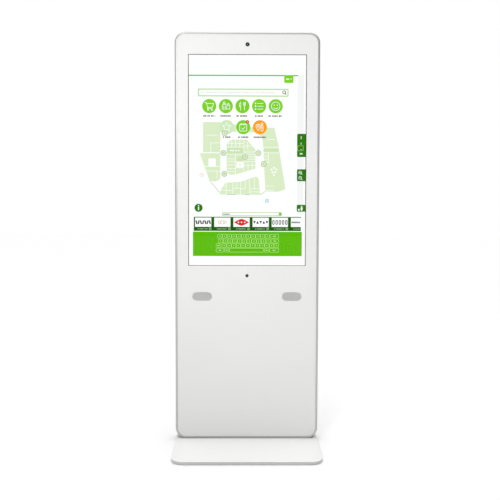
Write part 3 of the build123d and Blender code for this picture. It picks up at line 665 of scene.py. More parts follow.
@dataclass
class Artwork:
    """Flat shapes of one area of the page, in millimetres right of and below the window's corner."""

    name: str
    corner: Vector
    wells: InkWell
    layer_step: float = LAYER_STEP
    film: float = 0.04
    shapes: list[tuple[list[list[Point]], Ink, int]] = field(default_factory=list)

    def polygon(self, outline: Sequence[Point], ink: Ink, layer: int) -> None:
        """Add a filled outline."""
        self.shapes.append(([list(outline)], ink, layer))

    def box(
        self, left: float, top: float, right: float, bottom: float, ink: Ink, layer: int, radius: float = 0
    ) -> None:
        """Add a filled box, its corners round if a radius is given."""
        self.polygon(rounded_box(left, top, right, bottom, radius), ink, layer)

    def disc(self, centre: Point, radius: float, ink: Ink, layer: int, sides: int = 40) -> None:
        """Add a filled circle."""
        self.polygon(circle_points(centre, radius, sides), ink, layer)

    def stroke(self, path: Sequence[Point], width: float, ink: Ink, layer: int, closed: bool = False) -> None:
        """Add a line of even width with mitred corners.

        Args:
            path: The line's points.
            width: Its width in millimetres.
            ink: Its colour.
            layer: How far in front it lies.
            closed: Whether the last point joins the first.
        """
        points = [Vector(p) for p in path]
        count = len(points)
        sides: tuple[list[Point], list[Point]] = ([], [])
        for k, point in enumerate(points):
            before = points[k - 1] if closed or k > 0 else None
            after = points[(k + 1) % count] if closed or k < count - 1 else None
            inward = (point - before).normalized() if before is not None else None
            outward = (after - point).normalized() if after is not None else None
            tangent = (inward or outward) + (outward or inward)
            tangent.normalize()
            lean = max(0.35, tangent.dot(inward or outward))
            offset = Vector((-tangent.y, tangent.x)) * (width / 2 / lean)
            sides[0].append(tuple(point + offset))
            sides[1].append(tuple(point - offset))
        spans = count if closed else count - 1
        quads = []
        for k in range(spans):
            n = (k + 1) % count
            quads.append([sides[0][k], sides[0][n], sides[1][n], sides[1][k]])
        self.shapes.append((quads, ink, layer))

    def ring(self, centre: Point, radius: float, width: float, ink: Ink, layer: int) -> None:
        """Add an unfilled circle."""
        self.stroke(circle_points(centre, radius), width, ink, layer, closed=True)

    def words(
        self, left: float, middle: float, width: float, height: float, ink: Ink, layer: int, seed: int
    ) -> None:
        """Add a row of small blocks that stands for a line of writing.

        Args:
            left: Where the row starts.
            middle: Its height on the page.
            width: Its length.
            height: The blocks' height.
            ink: Their colour.
            layer: How far in front they lie.
            seed: Fixes the blocks' widths.
        """
        dice = random.Random(seed)
        u = left
        while u < left + width:
            block = height * dice.uniform(0.45, 0.95)
            end = min(u + block, left + width)
            if end - u > height * 0.2:
                self.box(u, middle - height / 2, end, middle + height / 2, ink, layer)
            u = end + height * (0.22 if dice.random() < 0.85 else 0.8)

    def build(self) -> bpy.types.Object:
        """Turn the shapes into one thin mesh that rides on the cabinet.

        Returns:
            The new object.
        """
        inks = list(dict.fromkeys(ink for _, ink, _ in self.shapes))
        mesh = bpy.data.meshes.new(self.name)
        for ink in inks:
            mesh.materials.append(self.wells.material(ink))
        sketch = bmesh.new()
        for loops, ink, layer in self.shapes:
            for loop in loops:
                self._fill(sketch, loop, inks.index(ink), layer)
        sketch.to_mesh(mesh)
        sketch.free()
        piece = bpy.data.objects.new(self.name, mesh)
        bpy.context.scene.collection.objects.link(piece)
        skin = piece.modifiers.new("film", "SOLIDIFY")
        skin.thickness = self.film * MM
        skin.offset = -1
        return piece

    def _fill(self, sketch: bmesh.types.BMesh, loop: list[Point], slot: int, layer: int) -> None:
        """Fill one outline with faces that look forwards."""
        depth = self.corner.y - layer * self.layer_step * MM
        places = [Vector((self.corner.x + u * MM, depth, self.corner.z - v * MM)) for u, v in loop]
        vertices = [sketch.verts.new(place) for place in places]
        if len(loop) == 4:
            triangles = [(0, 1, 2, 3)]
        else:
            triangles = tessellate_polygon([[Vector((p.x, p.z, 0)) for p in places]])
        for corners in triangles:
            face = sketch.faces.new([vertices[k] for k in corners])
            face.normal_update()
            if face.normal.y > 0:
                face.normal_flip()
            face.material_index = slot


class Symbol(Enum):
    """Round shortcut symbols on the page."""

    TROLLEY = "trolley"
    SHOPPER = "shopper"
    CUTLERY = "cutlery"
    LIST = "list"
    SMILE = "smile"
    STAR = "star"
    CALENDAR = "calendar"
    WAYPOINT = "waypoint"


@dataclass
class SymbolPen:
    """Draws symbols about one centre, in parts of the round button's radius."""

    art: Artwork
    centre: Point
    radius: float
    ink: Ink
    layer: int
    weight: float = 0.075

    def at(self, points: Iterable[Point]) -> list[Point]:
        """Places on the page for points given in parts of the radius."""
        return [(self.centre[0] + u * self.radius, self.centre[1] + v * self.radius) for u, v in points]

    def line(self, *points: Point, closed: bool = False) -> None:
        """Draw a line through the points."""
        self.art.stroke(self.at(points), self.weight * self.radius, self.ink, self.layer, closed)

    def dot(self, u: float, v: float, size: float) -> None:
        """Draw a filled dot."""
        self.art.disc(self.at([(u, v)])[0], size * self.radius, self.ink, self.layer, 20)

    def loop(self, u: float, v: float, size: float) -> None:
        """Draw an open circle."""
        line = self.weight * self.radius
        self.art.ring(self.at([(u, v)])[0], size * self.radius, line, self.ink, self.layer)

    def draw(self, symbol: Symbol) -> None:
        """Draw one of the symbols."""
        getattr(self, "_" + symbol.value)()

    def _trolley(self) -> None:
        """A shopping trolley seen from the side."""
        self.line((-0.66, -0.5), (-0.44, -0.5), (-0.2, 0.18), (0.44, 0.18), (0.62, -0.36), (-0.38, -0.36))
        self.line((-0.2, 0.18), (-0.26, 0.36), (0.46, 0.36))
        self.dot(-0.16, 0.54, 0.1)
        self.dot(0.38, 0.54, 0.1)

    def _shopper(self) -> None:
        """A standing figure beside a carrier bag."""
        self.loop(-0.24, -0.46, 0.14)
        self.line((-0.52, 0.5), (-0.5, -0.12), (-0.34, -0.26), (-0.06, -0.26), (0.06, -0.1))
        self.line((-0.3, 0.0), (-0.3, 0.56))
        self.line((-0.08, 0.0), (-0.08, 0.56))
        self.line((0.14, -0.14), (0.54, -0.14), (0.58, 0.42), (0.1, 0.42), closed=True)
        self.line((0.24, -0.14), (0.26, -0.36), (0.42, -0.36), (0.44, -0.14))

    def _cutlery(self) -> None:
        """A knife and a fork side by side."""
        self.line((-0.26, 0.6), (-0.26, -0.56), (-0.42, -0.3), (-0.42, 0.08), (-0.26, 0.08))
        for u in (0.14, 0.28, 0.42):
            self.line((u, -0.58), (u, -0.2))
        self.line((0.14, -0.2), (0.28, -0.04), (0.42, -0.2))
        self.line((0.28, -0.04), (0.28, 0.6))

    def _list(self) -> None:
        """Three dots, each with a line."""
        for v in (-0.4, 0.0, 0.4):
            self.dot(-0.5, v, 0.11)
            self.line((-0.24, v), (0.6, v))

    def _smile(self) -> None:
        """A plain smiling face."""
        self.loop(0, 0, 0.6)
        self.dot(-0.2, -0.16, 0.08)
        self.dot(0.2, -0.16, 0.08)
        self.line(*arc_points((0, 0.04), 0.3, 20, 160, 10))

    def _star(self) -> None:
        """A five-pointed outline."""
        tips = []
        for k in range(10):
            reach = 0.64 if k % 2 == 0 else 0.3
            angle = math.radians(36 * k - 90)
            tips.append((reach * math.cos(angle), reach * math.sin(angle)))
        self.line(*tips, closed=True)

    def _calendar(self) -> None:
        """A calendar leaf with binding loops and a tick."""
        self.line(*rounded_box(-0.5, -0.4, 0.5, 0.54, 0.1), closed=True)
        for u in (-0.36, -0.18, 0.0, 0.18, 0.36):
            self.line((u, -0.54), (u, -0.28))
        self.line((-0.22, 0.1), (-0.04, 0.3), (0.28, -0.08))

    def _waypoint(self) -> None:
        """A map pin beside a signpost."""
        self.line(*arc_points((-0.26, -0.14), 0.3, 150, 390, 14), (-0.26, 0.48), closed=True)
        self.loop(-0.26, -0.14, 0.11)
        self.line(*rounded_box(0.14, -0.24, 0.44, 0.52, 0.08), closed=True)
        self.line((0.14, 0.08), (0.44, 0.08))
        self.loop(0.3, -0.48, 0.12)


@dataclass
class WayfindingPage:
    """The page that the display shows, made of thin lit films behind the glass."""

    width: float = 526.8
    height: float = 940.4
    # The unlit strips left round the page show the black display: at the sides its own dark border; at top
    # and bottom a dark line that is painted shade along the window's edge.
    side_margin: float = 2.4
    top_margin: float = 1.4
    lift: float = 3.8
    behind_lip: float = 0.12
    button_radius: float = 31.5
    button_pitch: float = 74.0
    first_button: Point = (93.5, 231.0)
    lit: float = 1.06

    def __post_init__(self) -> None:
        """Find the window from the CAD and set out the inks."""
        cell_low, cell_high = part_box("lcd_cell")
        self.depth = cell_low.y - self.behind_lip * MM
        self.middle = (cell_low + cell_high) / 2
        top = self.middle.z + (self.height / 2 + self.lift) * MM
        self.corner = Vector((-self.width / 2 * MM, self.depth, top))
        self.wells = InkWell(self.lit)
        self.pieces: list[bpy.types.Object] = []

    def area(self, name: str) -> Artwork:
        """Start the artwork of one area of the page."""
        return Artwork("page_" + name, self.corner, self.wells)

    def publish(self, art: Artwork) -> None:
        """Build one area and fasten it to the cabinet."""
        piece = art.build()
        fasten(piece, FRAME_BODY)
        self.pieces.append(piece)
        LOG.info("page area %s: %d shapes", piece.name, len(art.shapes))

    def build(self) -> None:
        """Build every area of the page, from the back forwards."""
        self._background()
        self._header()
        self._search()
        self._floor_plan()
        self._plan_pins()
        self._shortcuts()
        self._side_buttons()
        self._entry_field()
        self._tile_strip()
        self._keyboard()

    def _background(self) -> None:
        """White page with a pale margin column on the right."""
        art = self.area("background")
        right = self.width - self.side_margin
        top = self.lift + self.top_margin
        bottom = self.lift + self.height - self.top_margin
        # the unlit strips round this box are partly the display's border and partly painted shade at the
        # window's edge
        art.box(self.side_margin, top, right, bottom, Ink.PAGE, 0)
        art.box(487, 93, 515, 712, Ink.MARGIN_GREY, 1)
        self.publish(art)

    def _header(self) -> None:
        """Green rule with the language tab hanging from it."""
        art = self.area("header")
        art.box(self.side_margin, 93, 488, 98, Ink.HEADER_GREEN, 2)
        tab = [(427, 93), (468, 93)]
        tab += arc_points((462, 122), 6, 0, 90, 6) + arc_points((433, 122), 6, 90, 180, 6)
        art.polygon(tab, Ink.LEAF, 3)
        art.words(435, 111, 14, 6, Ink.PAGE, 4, seed=3)
        art.polygon([(454, 108.5), (461, 108.5), (457.5, 113.5)], Ink.PAGE, 4)
        self.publish(art)

    def _search(self) -> None:
        """Search box with a magnifier."""
        art = self.area("search")
        art.stroke(rounded_box(46, 156, 444, 186, 2), 4.0, Ink.FIELD_BORDER, 2, closed=True)
        art.words(56, 171, 328, 5, Ink.PLACEHOLDER, 2, seed=5)
        art.ring((427, 169), 6.6, 2.8, Ink.CHARCOAL, 3)
        art.stroke([(431.6, 173.8), (436.6, 178.8)], 3.2, Ink.CHARCOAL, 4)
        self.publish(art)

    def _button(self, art: Artwork, centre: Point, symbol: Symbol, ground: Ink, figure: Ink) -> None:
        """Draw one round shortcut with its symbol."""
        art.disc(centre, self.button_radius, ground, 6, 56)
        SymbolPen(art, centre, self.button_radius, figure, 7).draw(symbol)

    def _shortcuts(self) -> None:
        """Five round shortcuts, and three more below them."""
        art = self.area("shortcuts")
        first_u, first_v = self.first_button
        top_row = (Symbol.TROLLEY, Symbol.SHOPPER, Symbol.CUTLERY, Symbol.LIST, Symbol.SMILE)
        label_widths = (52, 48, 53, 35, 64)
        for k, (symbol, width) in enumerate(zip(top_row, label_widths)):
            centre = (first_u + k * self.button_pitch, first_v)
            self._button(art, centre, symbol, Ink.LEAF, Ink.PAGE)
            art.words(centre[0] - width / 2, first_v + 43.5, width, 6.5, Ink.WORD_GREY, 6, seed=20 + k)
        lower_v = first_v + 93
        lower_row = (
            (first_u + 78, Symbol.STAR, Ink.FADED_GREEN, Ink.PAGE, 32),
            (first_u + 151.5, Symbol.CALENDAR, Ink.LEAF, Ink.PAGE, 45),
            (first_u + 226, Symbol.WAYPOINT, Ink.AMBER, Ink.PAGE, 54),
        )
        for k, (u, symbol, ground, figure, width) in enumerate(lower_row):
            self._button(art, (u, lower_v), symbol, ground, figure)
            art.words(u - width / 2, lower_v + 44.5, width, 6.5, Ink.WORD_GREY, 6, seed=40 + k)
        badge = (first_u + 170.5, lower_v - 24)
        art.disc(badge, 7.2, Ink.RED, 8, 28)
        art.disc(badge, 2.0, Ink.PAGE, 9, 16)
        self.publish(art)

    def _floor_plan(self) -> None:
        """Pale plan of a building with its shops and walkways."""
        art = self.area("floor_plan")
        ground = 2
        wing_north = [
            (66, 302), (145, 302), (145, 312), (214, 312), (214, 346), (143, 346), (143, 436), (66, 436),
        ]
        wing_west = [(51, 440), (143, 440), (143, 551), (133, 561), (119, 566), (95, 563)]
        core = [
            (193, 379), (262, 379), (300, 423), (300, 508), (213, 534), (186, 536), (171, 520), (171, 399),
        ]
        core_south = [
            (166, 572), (234, 567), (300, 544), (309, 546), (315, 555), (322, 625), (140, 624), (148, 598),
        ]
        wing_east = [
            (262, 323), (384, 326), (402, 402), (435, 599), (405, 611), (345, 610), (334, 402), (329, 366),
            (300, 347), (262, 347),
        ]
        for outline in (wing_north, wing_west, core, core_south, wing_east):
            art.polygon(outline, Ink.MAP_GREEN, ground)
        for left, top, right, bottom in ((173, 415, 246, 442), (339, 420, 403, 432), (216, 458, 244, 475)):
            art.box(left, top, right, bottom, Ink.MAP_GREEN_DEEP, ground + 1)
        for left, top, right, bottom in ((90, 463, 123, 498), (215, 477, 246, 503)):
            art.box(left, top, right, bottom, Ink.PAGE, ground + 1, 2)
        art.ring((230.5, 490), 5, 1.6, Ink.FADED_GREEN, ground + 2)
        self._partitions(art, ground + 2)
        walls = (
            [(96, 563), (141, 616)],
            [(171, 624.5), (211, 624.5)],
            [(253, 624.5), (277, 624.5)],
            [(323, 625), (344, 610)],
        )
        for wall in walls:
            art.stroke(wall, 2.2, Ink.WALL_GREY, ground + 3)
        self.publish(art)

    def _partitions(self, art: Artwork, layer: int) -> None:
        """White dividing lines between the shops."""
        upright = (
            (194, 379, 413), (211, 379, 413), (230, 379, 413), (248, 379, 449), (265, 388, 423),
            (211, 444, 534), (248, 477, 521), (267, 482, 516), (286, 482, 510),
            (100, 394, 437), (128, 522, 553), (358, 441, 482), (160, 312, 346), (180, 312, 346),
            (197, 312, 346),
            (170, 572, 625), (199, 572, 625), (234, 567, 625), (274, 556, 625), (296, 548, 600),
            (255, 562, 598), (216, 572, 596),
        )
        level = (
            (171, 248, 413), (171, 300, 444), (248, 300, 434), (248, 300, 456), (248, 300, 466),
            (248, 300, 477), (171, 211, 465), (171, 211, 477), (171, 211, 492), (171, 211, 508),
            (171, 211, 521), (248, 300, 494),
            (171, 194, 396), (194, 248, 396), (248, 292, 408), (211, 248, 505),
            (98, 143, 394), (75, 143, 499), (80, 143, 520), (51, 143, 438),
            (335, 403, 413), (335, 405, 438), (345, 382, 586), (335, 358, 452), (336, 358, 466),
            (337, 358, 480), (143, 170, 586), (143, 170, 604), (199, 234, 596), (234, 255, 598),
            (274, 318, 598), (274, 320, 612),
            (170, 199, 606), (345, 382, 604),
        )
        for u, top, bottom in upright:
            art.box(u - 1.1, top, u + 1.1, bottom, Ink.PAGE, layer)
        for left, right, v in level:
            art.box(left, v - 1.1, right, v + 1.1, Ink.PAGE, layer + 1)
        for u, v in ((372, 512), (383, 505), (394, 512), (377, 524), (389, 524), (383, 536)):
            art.disc((u, v), 4.4, Ink.PAGE, layer, 20)
        art.words(80, 360, 54, 5, Ink.MARGIN_GREY, layer, seed=61)
        art.words(186, 428, 44, 6, Ink.PAGE, layer + 2, seed=62)
        art.words(350, 378, 36, 5, Ink.MARGIN_GREY, layer, seed=63)

    def _plan_pins(self) -> None:
        """Round service marks and a few small signs on the plan."""
        art = self.area("plan_pins")
        pins = ((157, 439), (313, 439), (253, 456), (337, 488), (161, 532), (162, 351))
        for k, (u, v) in enumerate(pins):
            art.disc((u, v), 12.5, Ink.MAP_GREEN, 7, 28)
            art.ring((u, v), 11.6, 2.6, Ink.PIN_GREY, 8)
            if k % 2:
                art.stroke([(u - 4, v), (u + 4, v)], 2.2, Ink.PIN_GREY, 8)
                art.disc((u, v - 4.5), 1.8, Ink.PIN_GREY, 8, 12)
            else:
                art.stroke([(u - 4.5, v + 4), (u, v - 4), (u + 4.5, v + 4)], 2.2, Ink.PIN_GREY, 8)
        art.ring((59.5, 537), 8.6, 1.6, Ink.PALE_ROSE, 7)
        art.stroke([(56.5, 541), (59.5, 533), (62.5, 541)], 1.6, Ink.PALE_ROSE, 7)
        art.box(344, 644, 361, 660, Ink.SKY, 7, 2)
        art.stroke([(348, 655), (352.5, 649), (357, 655)], 2, Ink.PAGE, 8)
        self.publish(art)

    def _side_buttons(self) -> None:
        """Dark buttons on the right edge and the round one on the left."""
        art = self.area("side_buttons")
        right = self.width - self.side_margin
        for top, bottom in ((352.5, 456), (510.5, 564), (669.5, 700.5)):
            outline = [(right, top), (right, bottom)]
            outline += arc_points((491, bottom - 5), 5, 90, 180, 6)
            outline += arc_points((491, top + 5), 5, 180, 270, 6)
            art.polygon(outline, Ink.BOTTLE_GREEN, 5)
        # floor chooser: steps, with the shown floor boxed
        for k, v in enumerate((370, 394, 418)):
            for step in range(3 - k):
                art.box(501, v + 3.4 - 4.4 * step, 507, v + 5.2 - 4.4 * step, Ink.PAGE, 6)
        art.stroke(rounded_box(488.5, 406, 513.5, 428, 3), 1.4, Ink.KEY_LINE, 6, closed=True)
        art.stroke([(498, 445), (510, 438)], 2.6, Ink.PAGE, 6)
        art.stroke([(498, 438), (503.4, 441)], 2.6, Ink.PAGE, 6)
        art.stroke([(504.6, 441.8), (510, 445)], 2.6, Ink.PAGE, 6)
        # two magnifiers, nearer and farther
        for v, crossed in ((525, True), (548.5, False)):
            art.ring((500.5, v), 6.2, 1.8, Ink.PAGE, 6)
            art.stroke([(505, v + 4.5), (510.5, v + 9)], 2.4, Ink.PAGE, 6)
            art.stroke([(497.5, v), (503.5, v)], 1.5, Ink.PAGE, 6)
            if crossed:
                art.stroke([(500.5, v - 3), (500.5, v + 3)], 1.5, Ink.PAGE, 7)
        # figure on the lowest button
        art.disc((508, 677), 3, Ink.PAGE, 6, 16)
        art.polygon([(503, 681.5), (513, 681.5), (511, 696), (505, 696)], Ink.PAGE, 6)
        art.polygon([(492, 688), (499, 688), (499, 696), (492, 696)], Ink.PAGE, 6)
        # round button with a plain upright mark
        art.disc((45.5, 684), 18.2, Ink.BOTTLE_GREEN, 5, 44)
        art.disc((45.5, 674.5), 2.9, Ink.PAGE, 6, 16)
        art.box(43, 680, 48, 694.5, Ink.PAGE, 6, 1)
        self.publish(art)

    def _entry_field(self) -> None:
        """Narrow entry field over the tile strip."""
        art = self.area("entry_field")
        art.box(151, 703.5, 419, 720, Ink.FIELD_BORDER, 5)
        art.box(153.4, 706, 405, 717.5, Ink.PAGE, 6)
        art.words(156, 712.5, 30, 5, Ink.WORD_GREY, 7, seed=70)
        for rise in (-1, 1):
            cross = [(408.5, 711.7 + 4 * rise), (415.5, 711.7 - 4 * rise)]
            art.stroke(cross, 1.8, Ink.BOTTLE_GREEN, 6 + max(rise, 0))
        self.publish(art)

    def _tile_strip(self) -> None:
        """Dark strip with a row of white cards and plain marks on them."""
        art = self.area("tile_strip")
        left, right, top, bottom = 24.0, 505.0, 723.5, 787.5
        art.box(left, top, right, bottom, Ink.STRIP_GREEN, 5)
        art.box(left, top, right, top + 2, Ink.PIN_GREY, 6)
        card_top, card_bottom, pitch, width = 728.0, 769.5, 86.1, 73.0
        for k in range(6):
            start = left + 5.7 + k * pitch
            end = min(start + width, right)
            art.box(start, card_top, end, card_bottom, Ink.PAGE, 6)
            art.words(start + 12, 778.5, min(44.0, end - start - 16), 4.5, Ink.CAPTION_MARK, 6, seed=80 + k)
            if start + width <= right:
                art.disc((start + width - 5, 778), 6.2, Ink.CAPTION_MARK, 6, 24)
                art.ring((start + width - 5, 778), 3.2, 1.4, Ink.STRIP_GREEN, 7)
            self._card_mark(art, k, (start + (end - start) / 2, (card_top + card_bottom) / 2), end - start)
        self.publish(art)

    def _card_mark(self, art: Artwork, kind: int, centre: Point, width: float) -> None:
        """Plain shapes on one card, with no letters.

        Args:
            art: The strip's artwork.
            kind: Which of the six marks.
            centre: The card's middle.
            width: The card's width.
        """
        u, v = centre
        if kind == 0:
            for step in range(7):
                middle = u - 30 + 10 * step
                lean = 2 if step % 2 else -2
                bar = [(middle - 3 + lean, v - 8), (middle + 3 + lean, v - 8), (middle + 3 - lean, v + 8),
                       (middle - 3 - lean, v + 8)]
                art.polygon(bar, Ink.CHARCOAL, 7)
        elif kind == 1:
            for step, size in ((-1, 6.0), (0, 8.5), (1, 6.0)):
                art.ring((u + 12 * step, v), size, 1.9, Ink.TAN, 8 if step == 0 else 7)
        elif kind == 2:
            lozenge = [(u - 34, v), (u - 14, v - 11), (u, v - 16), (u + 14, v - 11), (u + 34, v),
                       (u + 14, v + 11), (u, v + 16), (u - 14, v + 11)]
            art.polygon(lozenge, Ink.RED, 7)
            for step in (-1, 0, 1):
                art.disc((u + 14 * step, v), 3.2, Ink.PAGE, 8, 16)
        elif kind == 3:
            for step in range(5):
                middle = u - 28 + 14 * step
                rise = 6 if step % 2 else -6
                wedge = [(middle - 6, v + rise), (middle + 6, v + rise), (middle, v - rise)]
                art.polygon(wedge, Ink.CHARCOAL, 7)
        elif kind == 4:
            for step in range(5):
                middle = u - 29 + 14.5 * step
                outline = rounded_box(middle - 3.4, v - 9, middle + 3.4, v + 9, 3.2)
                art.stroke(outline, 3.0, Ink.CHARCOAL, 7, closed=True)
        else:
            art.words(u - width / 2 + 3, v, width - 4, 7, Ink.WORD_GREY, 7, seed=95)

    def _keyboard(self) -> None:
        """Green keyboard panel; the keys' outlines come from a node tree."""
        art = self.area("keyboard_panel")
        art.box(20, 791, 509.8, 901, Ink.PANEL_GREEN, 5)
        self.publish(art)
        rows = KeyRows(self)
        rows.build()


# ---------------------------------------------------------------- geometry nodes
class NodeTree:
    """A Geometry Nodes tree under construction."""

    def __init__(self, name: str, sizes: dict[str, float | int], takes_points: bool = False) -> None:
        """Start a tree with a geometry output and named number inputs.

        Args:
            name: The tree's name.
            sizes: Input name to its usual value; an int makes an integer input.
            takes_points: Whether it works on points that the bake gives it.
        """
        self.group = bpy.data.node_groups.new(name, "GeometryNodeTree")
        face = self.group.interface
        if takes_points:
            face.new_socket("Points", in_out="INPUT", socket_type="NodeSocketGeometry")
        for label, value in sizes.items():
            kind = "NodeSocketInt" if isinstance(value, int) else "NodeSocketFloat"
            socket = face.new_socket(label, in_out="INPUT", socket_type=kind)
            socket.default_value = value
        face.new_socket("Geometry", in_out="OUTPUT", socket_type="NodeSocketGeometry")
        self.start = self.group.nodes.new("NodeGroupInput")
        self.end = self.group.nodes.new("NodeGroupOutput")

    def size(self, label: str) -> bpy.types.NodeSocket:
        """The socket of one named input."""
        return self.start.outputs[label]

    def add(
        self, kind: str, settings: dict[str, Any] | None = None, inputs: dict[Any, Any] | None = None
    ) -> bpy.types.Node:
        """Add a node, set its properties first and then its sockets.

        Args:
            kind: The node's type.
            settings: Properties of the node.
            inputs: Socket name or index to a value or a socket.

        Returns:
            The new node.
        """
        node = self.group.nodes.new(kind)
        for name, value in (settings or {}).items():
            setattr(node, name, value)
        for key, value in (inputs or {}).items():
            if isinstance(value, bpy.types.NodeSocket):
                self.group.links.new(value, node.inputs[key])
            else:
                node.inputs[key].default_value = value
        return node

    def maths(self, operation: str, first: Any, second: Any) -> bpy.types.NodeSocket:
        """A Math node's result."""
        return self.add("ShaderNodeMath", {"operation": operation}, {0: first, 1: second}).outputs[0]

    def vector(self, x: Any = 0.0, y: Any = 0.0, z: Any = 0.0) -> bpy.types.NodeSocket:
        """A vector put together from three numbers."""
        return self.add("ShaderNodeCombineXYZ", {}, {0: x, 1: y, 2: z}).outputs[0]

    def finish(self, geometry: bpy.types.NodeSocket, material: bpy.types.Material) -> None:
        """Close the tree: make instances real, set their material, hand the result out."""
        real = self.add("GeometryNodeRealizeInstances", {}, {0: geometry})
        dressed = self.add("GeometryNodeSetMaterial", {}, {"Geometry": real.outputs[0], "Material": material})
        self.group.links.new(dressed.outputs[0], self.end.inputs[0])

    def bake(
        self, name: str, sizes: dict[str, float | int], points: Sequence[Vector] = ()
    ) -> bpy.types.Object:
        """Run the tree once and keep the result as a plain mesh.

        Args:
            name: The new piece's name.
            sizes: Input name to value, for those that differ from the usual.
            points: Places for a tree that takes points.

        Returns:
            An object with a plain mesh and no modifier.
        """
        mesh = bpy.data.meshes.new(name)
        mesh.from_pydata([tuple(point) for point in points], [], [])
        carrier = bpy.data.objects.new(name, mesh)
        modifier = carrier.modifiers.new("tree", "NODES")
        modifier.node_group = self.group
        for item in self.group.interface.items_tree:
            if item.in_out == "INPUT" and item.name in sizes:
                modifier[item.identifier] = sizes[item.name]
        bpy.context.scene.collection.objects.link(carrier)
        bpy.context.view_layer.update()
        evaluated = carrier.evaluated_get(bpy.context.evaluated_depsgraph_get())
        baked = bpy.data.meshes.new_from_object(evaluated)
        carrier.modifiers.remove(modifier)
        carrier.data = baked
        baked.name = name
        return carrier


@dataclass
class KeyRows:
    """Outlined keys of the on-screen keyboard."""

    page: WayfindingPage
    line: float = 1.7
    film: float = 0.05
    key_height: float = 17.4
    layer: int = 6

    def _tree(self) -> NodeTree:
        """The tree that draws a level row of equal outlined keys."""
        usual = {"Keys": 11, "Pitch": 0.0213, "Key Width": 0.018, "Key Height": 0.0155, "Line": 0.0015,
                 "Film": 0.00005, "Left": 0.0, "Depth": 0.0, "Height": 1.0}
        tree = NodeTree("key_row", usual)
        box = tree.add(
            "GeometryNodeCurvePrimitiveQuadrilateral", {"mode": "RECTANGLE"},
            {"Width": tree.size("Key Width"), "Height": tree.size("Key Height")},
        )
        corner = tree.maths("MULTIPLY", tree.size("Key Height"), 0.22)
        round_box = tree.add(
            "GeometryNodeFilletCurve", {}, {"Curve": box.outputs[0], "Radius": corner}
        )
        self._poly_fillet(round_box)
        section = tree.add(
            "GeometryNodeCurvePrimitiveQuadrilateral", {"mode": "RECTANGLE"},
            {"Width": tree.size("Line"), "Height": tree.size("Film")},
        )
        outline = tree.add(
            "GeometryNodeCurveToMesh", {},
            {"Curve": round_box.outputs[0], "Profile Curve": section.outputs[0]},
        )
        upright = tree.add(
            "GeometryNodeTransform", {},
            {"Geometry": outline.outputs[0], "Rotation": (math.radians(90), 0, 0)},
        )
        start = tree.vector(tree.size("Left"), tree.size("Depth"), tree.size("Height"))
        step = tree.vector(tree.size("Pitch"))
        line = tree.add(
            "GeometryNodeMeshLine", {}, {"Count": tree.size("Keys"), "Start Location": start, "Offset": step}
        )
        placed = tree.add(
            "GeometryNodeInstanceOnPoints", {}, {"Points": line.outputs[0], "Instance": upright.outputs[0]}
        )
        tree.finish(placed.outputs[0], self.page.wells.material(Ink.KEY_LINE))
        return tree

    @staticmethod
    def _poly_fillet(node: bpy.types.Node) -> None:
        """Make the corner rounding keep straight spans, whichever way this Blender names it."""
        if "Mode" in node.inputs:
            node.inputs["Mode"].default_value = "Poly"
        else:
            node.mode = "POLY"
        node.inputs["Count"].default_value = 4

    def build(self) -> None:
        """Bake each run of equal keys and join nothing: one piece per row."""
        tree = self._tree()
        page = self.page
        depth = page.corner.y - self.layer * LAYER_STEP * MM
        runs = (
            ("key_row_1", 811.4, 11, 21.4, 140.9, 19.8), ("key_wide_1", 811.4, 1, 0.0, 386.3, 38.0),
            ("key_row_2", 833.0, 11, 21.4, 144.7, 19.8), ("key_wide_2", 833.0, 1, 0.0, 388.2, 34.0),
            ("key_shift", 853.6, 1, 0.0, 135.5, 21.0), ("key_row_3", 853.6, 12, 21.3, 160.9, 19.7),
            ("key_low_left", 874.4, 1, 0.0, 141.8, 34.0), ("key_low_symbol", 874.4, 1, 0.0, 171.8, 20.0),
            ("key_space", 874.4, 1, 0.0, 261.3, 154.0), ("key_low_right", 874.4, 1, 0.0, 350.8, 19.0),
            ("key_low_end", 874.4, 1, 0.0, 385.0, 41.0),
        )
        for name, v, count, pitch, first, width in runs:
            piece = tree.bake(
                name,
                {"Keys": count, "Pitch": pitch * MM,
                 "Key Width": width * MM, "Key Height": self.key_height * MM,
                 "Line": self.line * MM, "Film": self.film * MM, "Left": page.corner.x + first * MM,
                 "Depth": depth, "Height": page.corner.z - v * MM},
            )
            fasten(piece, FRAME_BODY)
        self._glyphs(runs)

    def _glyphs(self, runs: Sequence[tuple[str, float, int, float, float, float]]) -> None:
        """Small plain marks in the middle of the keys, in place of letters."""
        art = self.page.area("key_marks")
        dice = random.Random(7)
        for name, v, count, pitch, first, width in runs:
            for k in range(count):
                u = first + k * pitch
                if name == "key_space":
                    continue
                if count > 1:
                    half = dice.uniform(1.2, 1.7)
                    art.box(u - half, v - 1.8, u + half, v + 1.8, Ink.KEY_GLYPH, 7, 0.6)
                else:
                    half = min(6.0, width / 4)
                    art.box(u - half, v - 1.3, u + half, v + 1.3, Ink.KEY_GLYPH, 7, 1)
        self.page.publish(art)


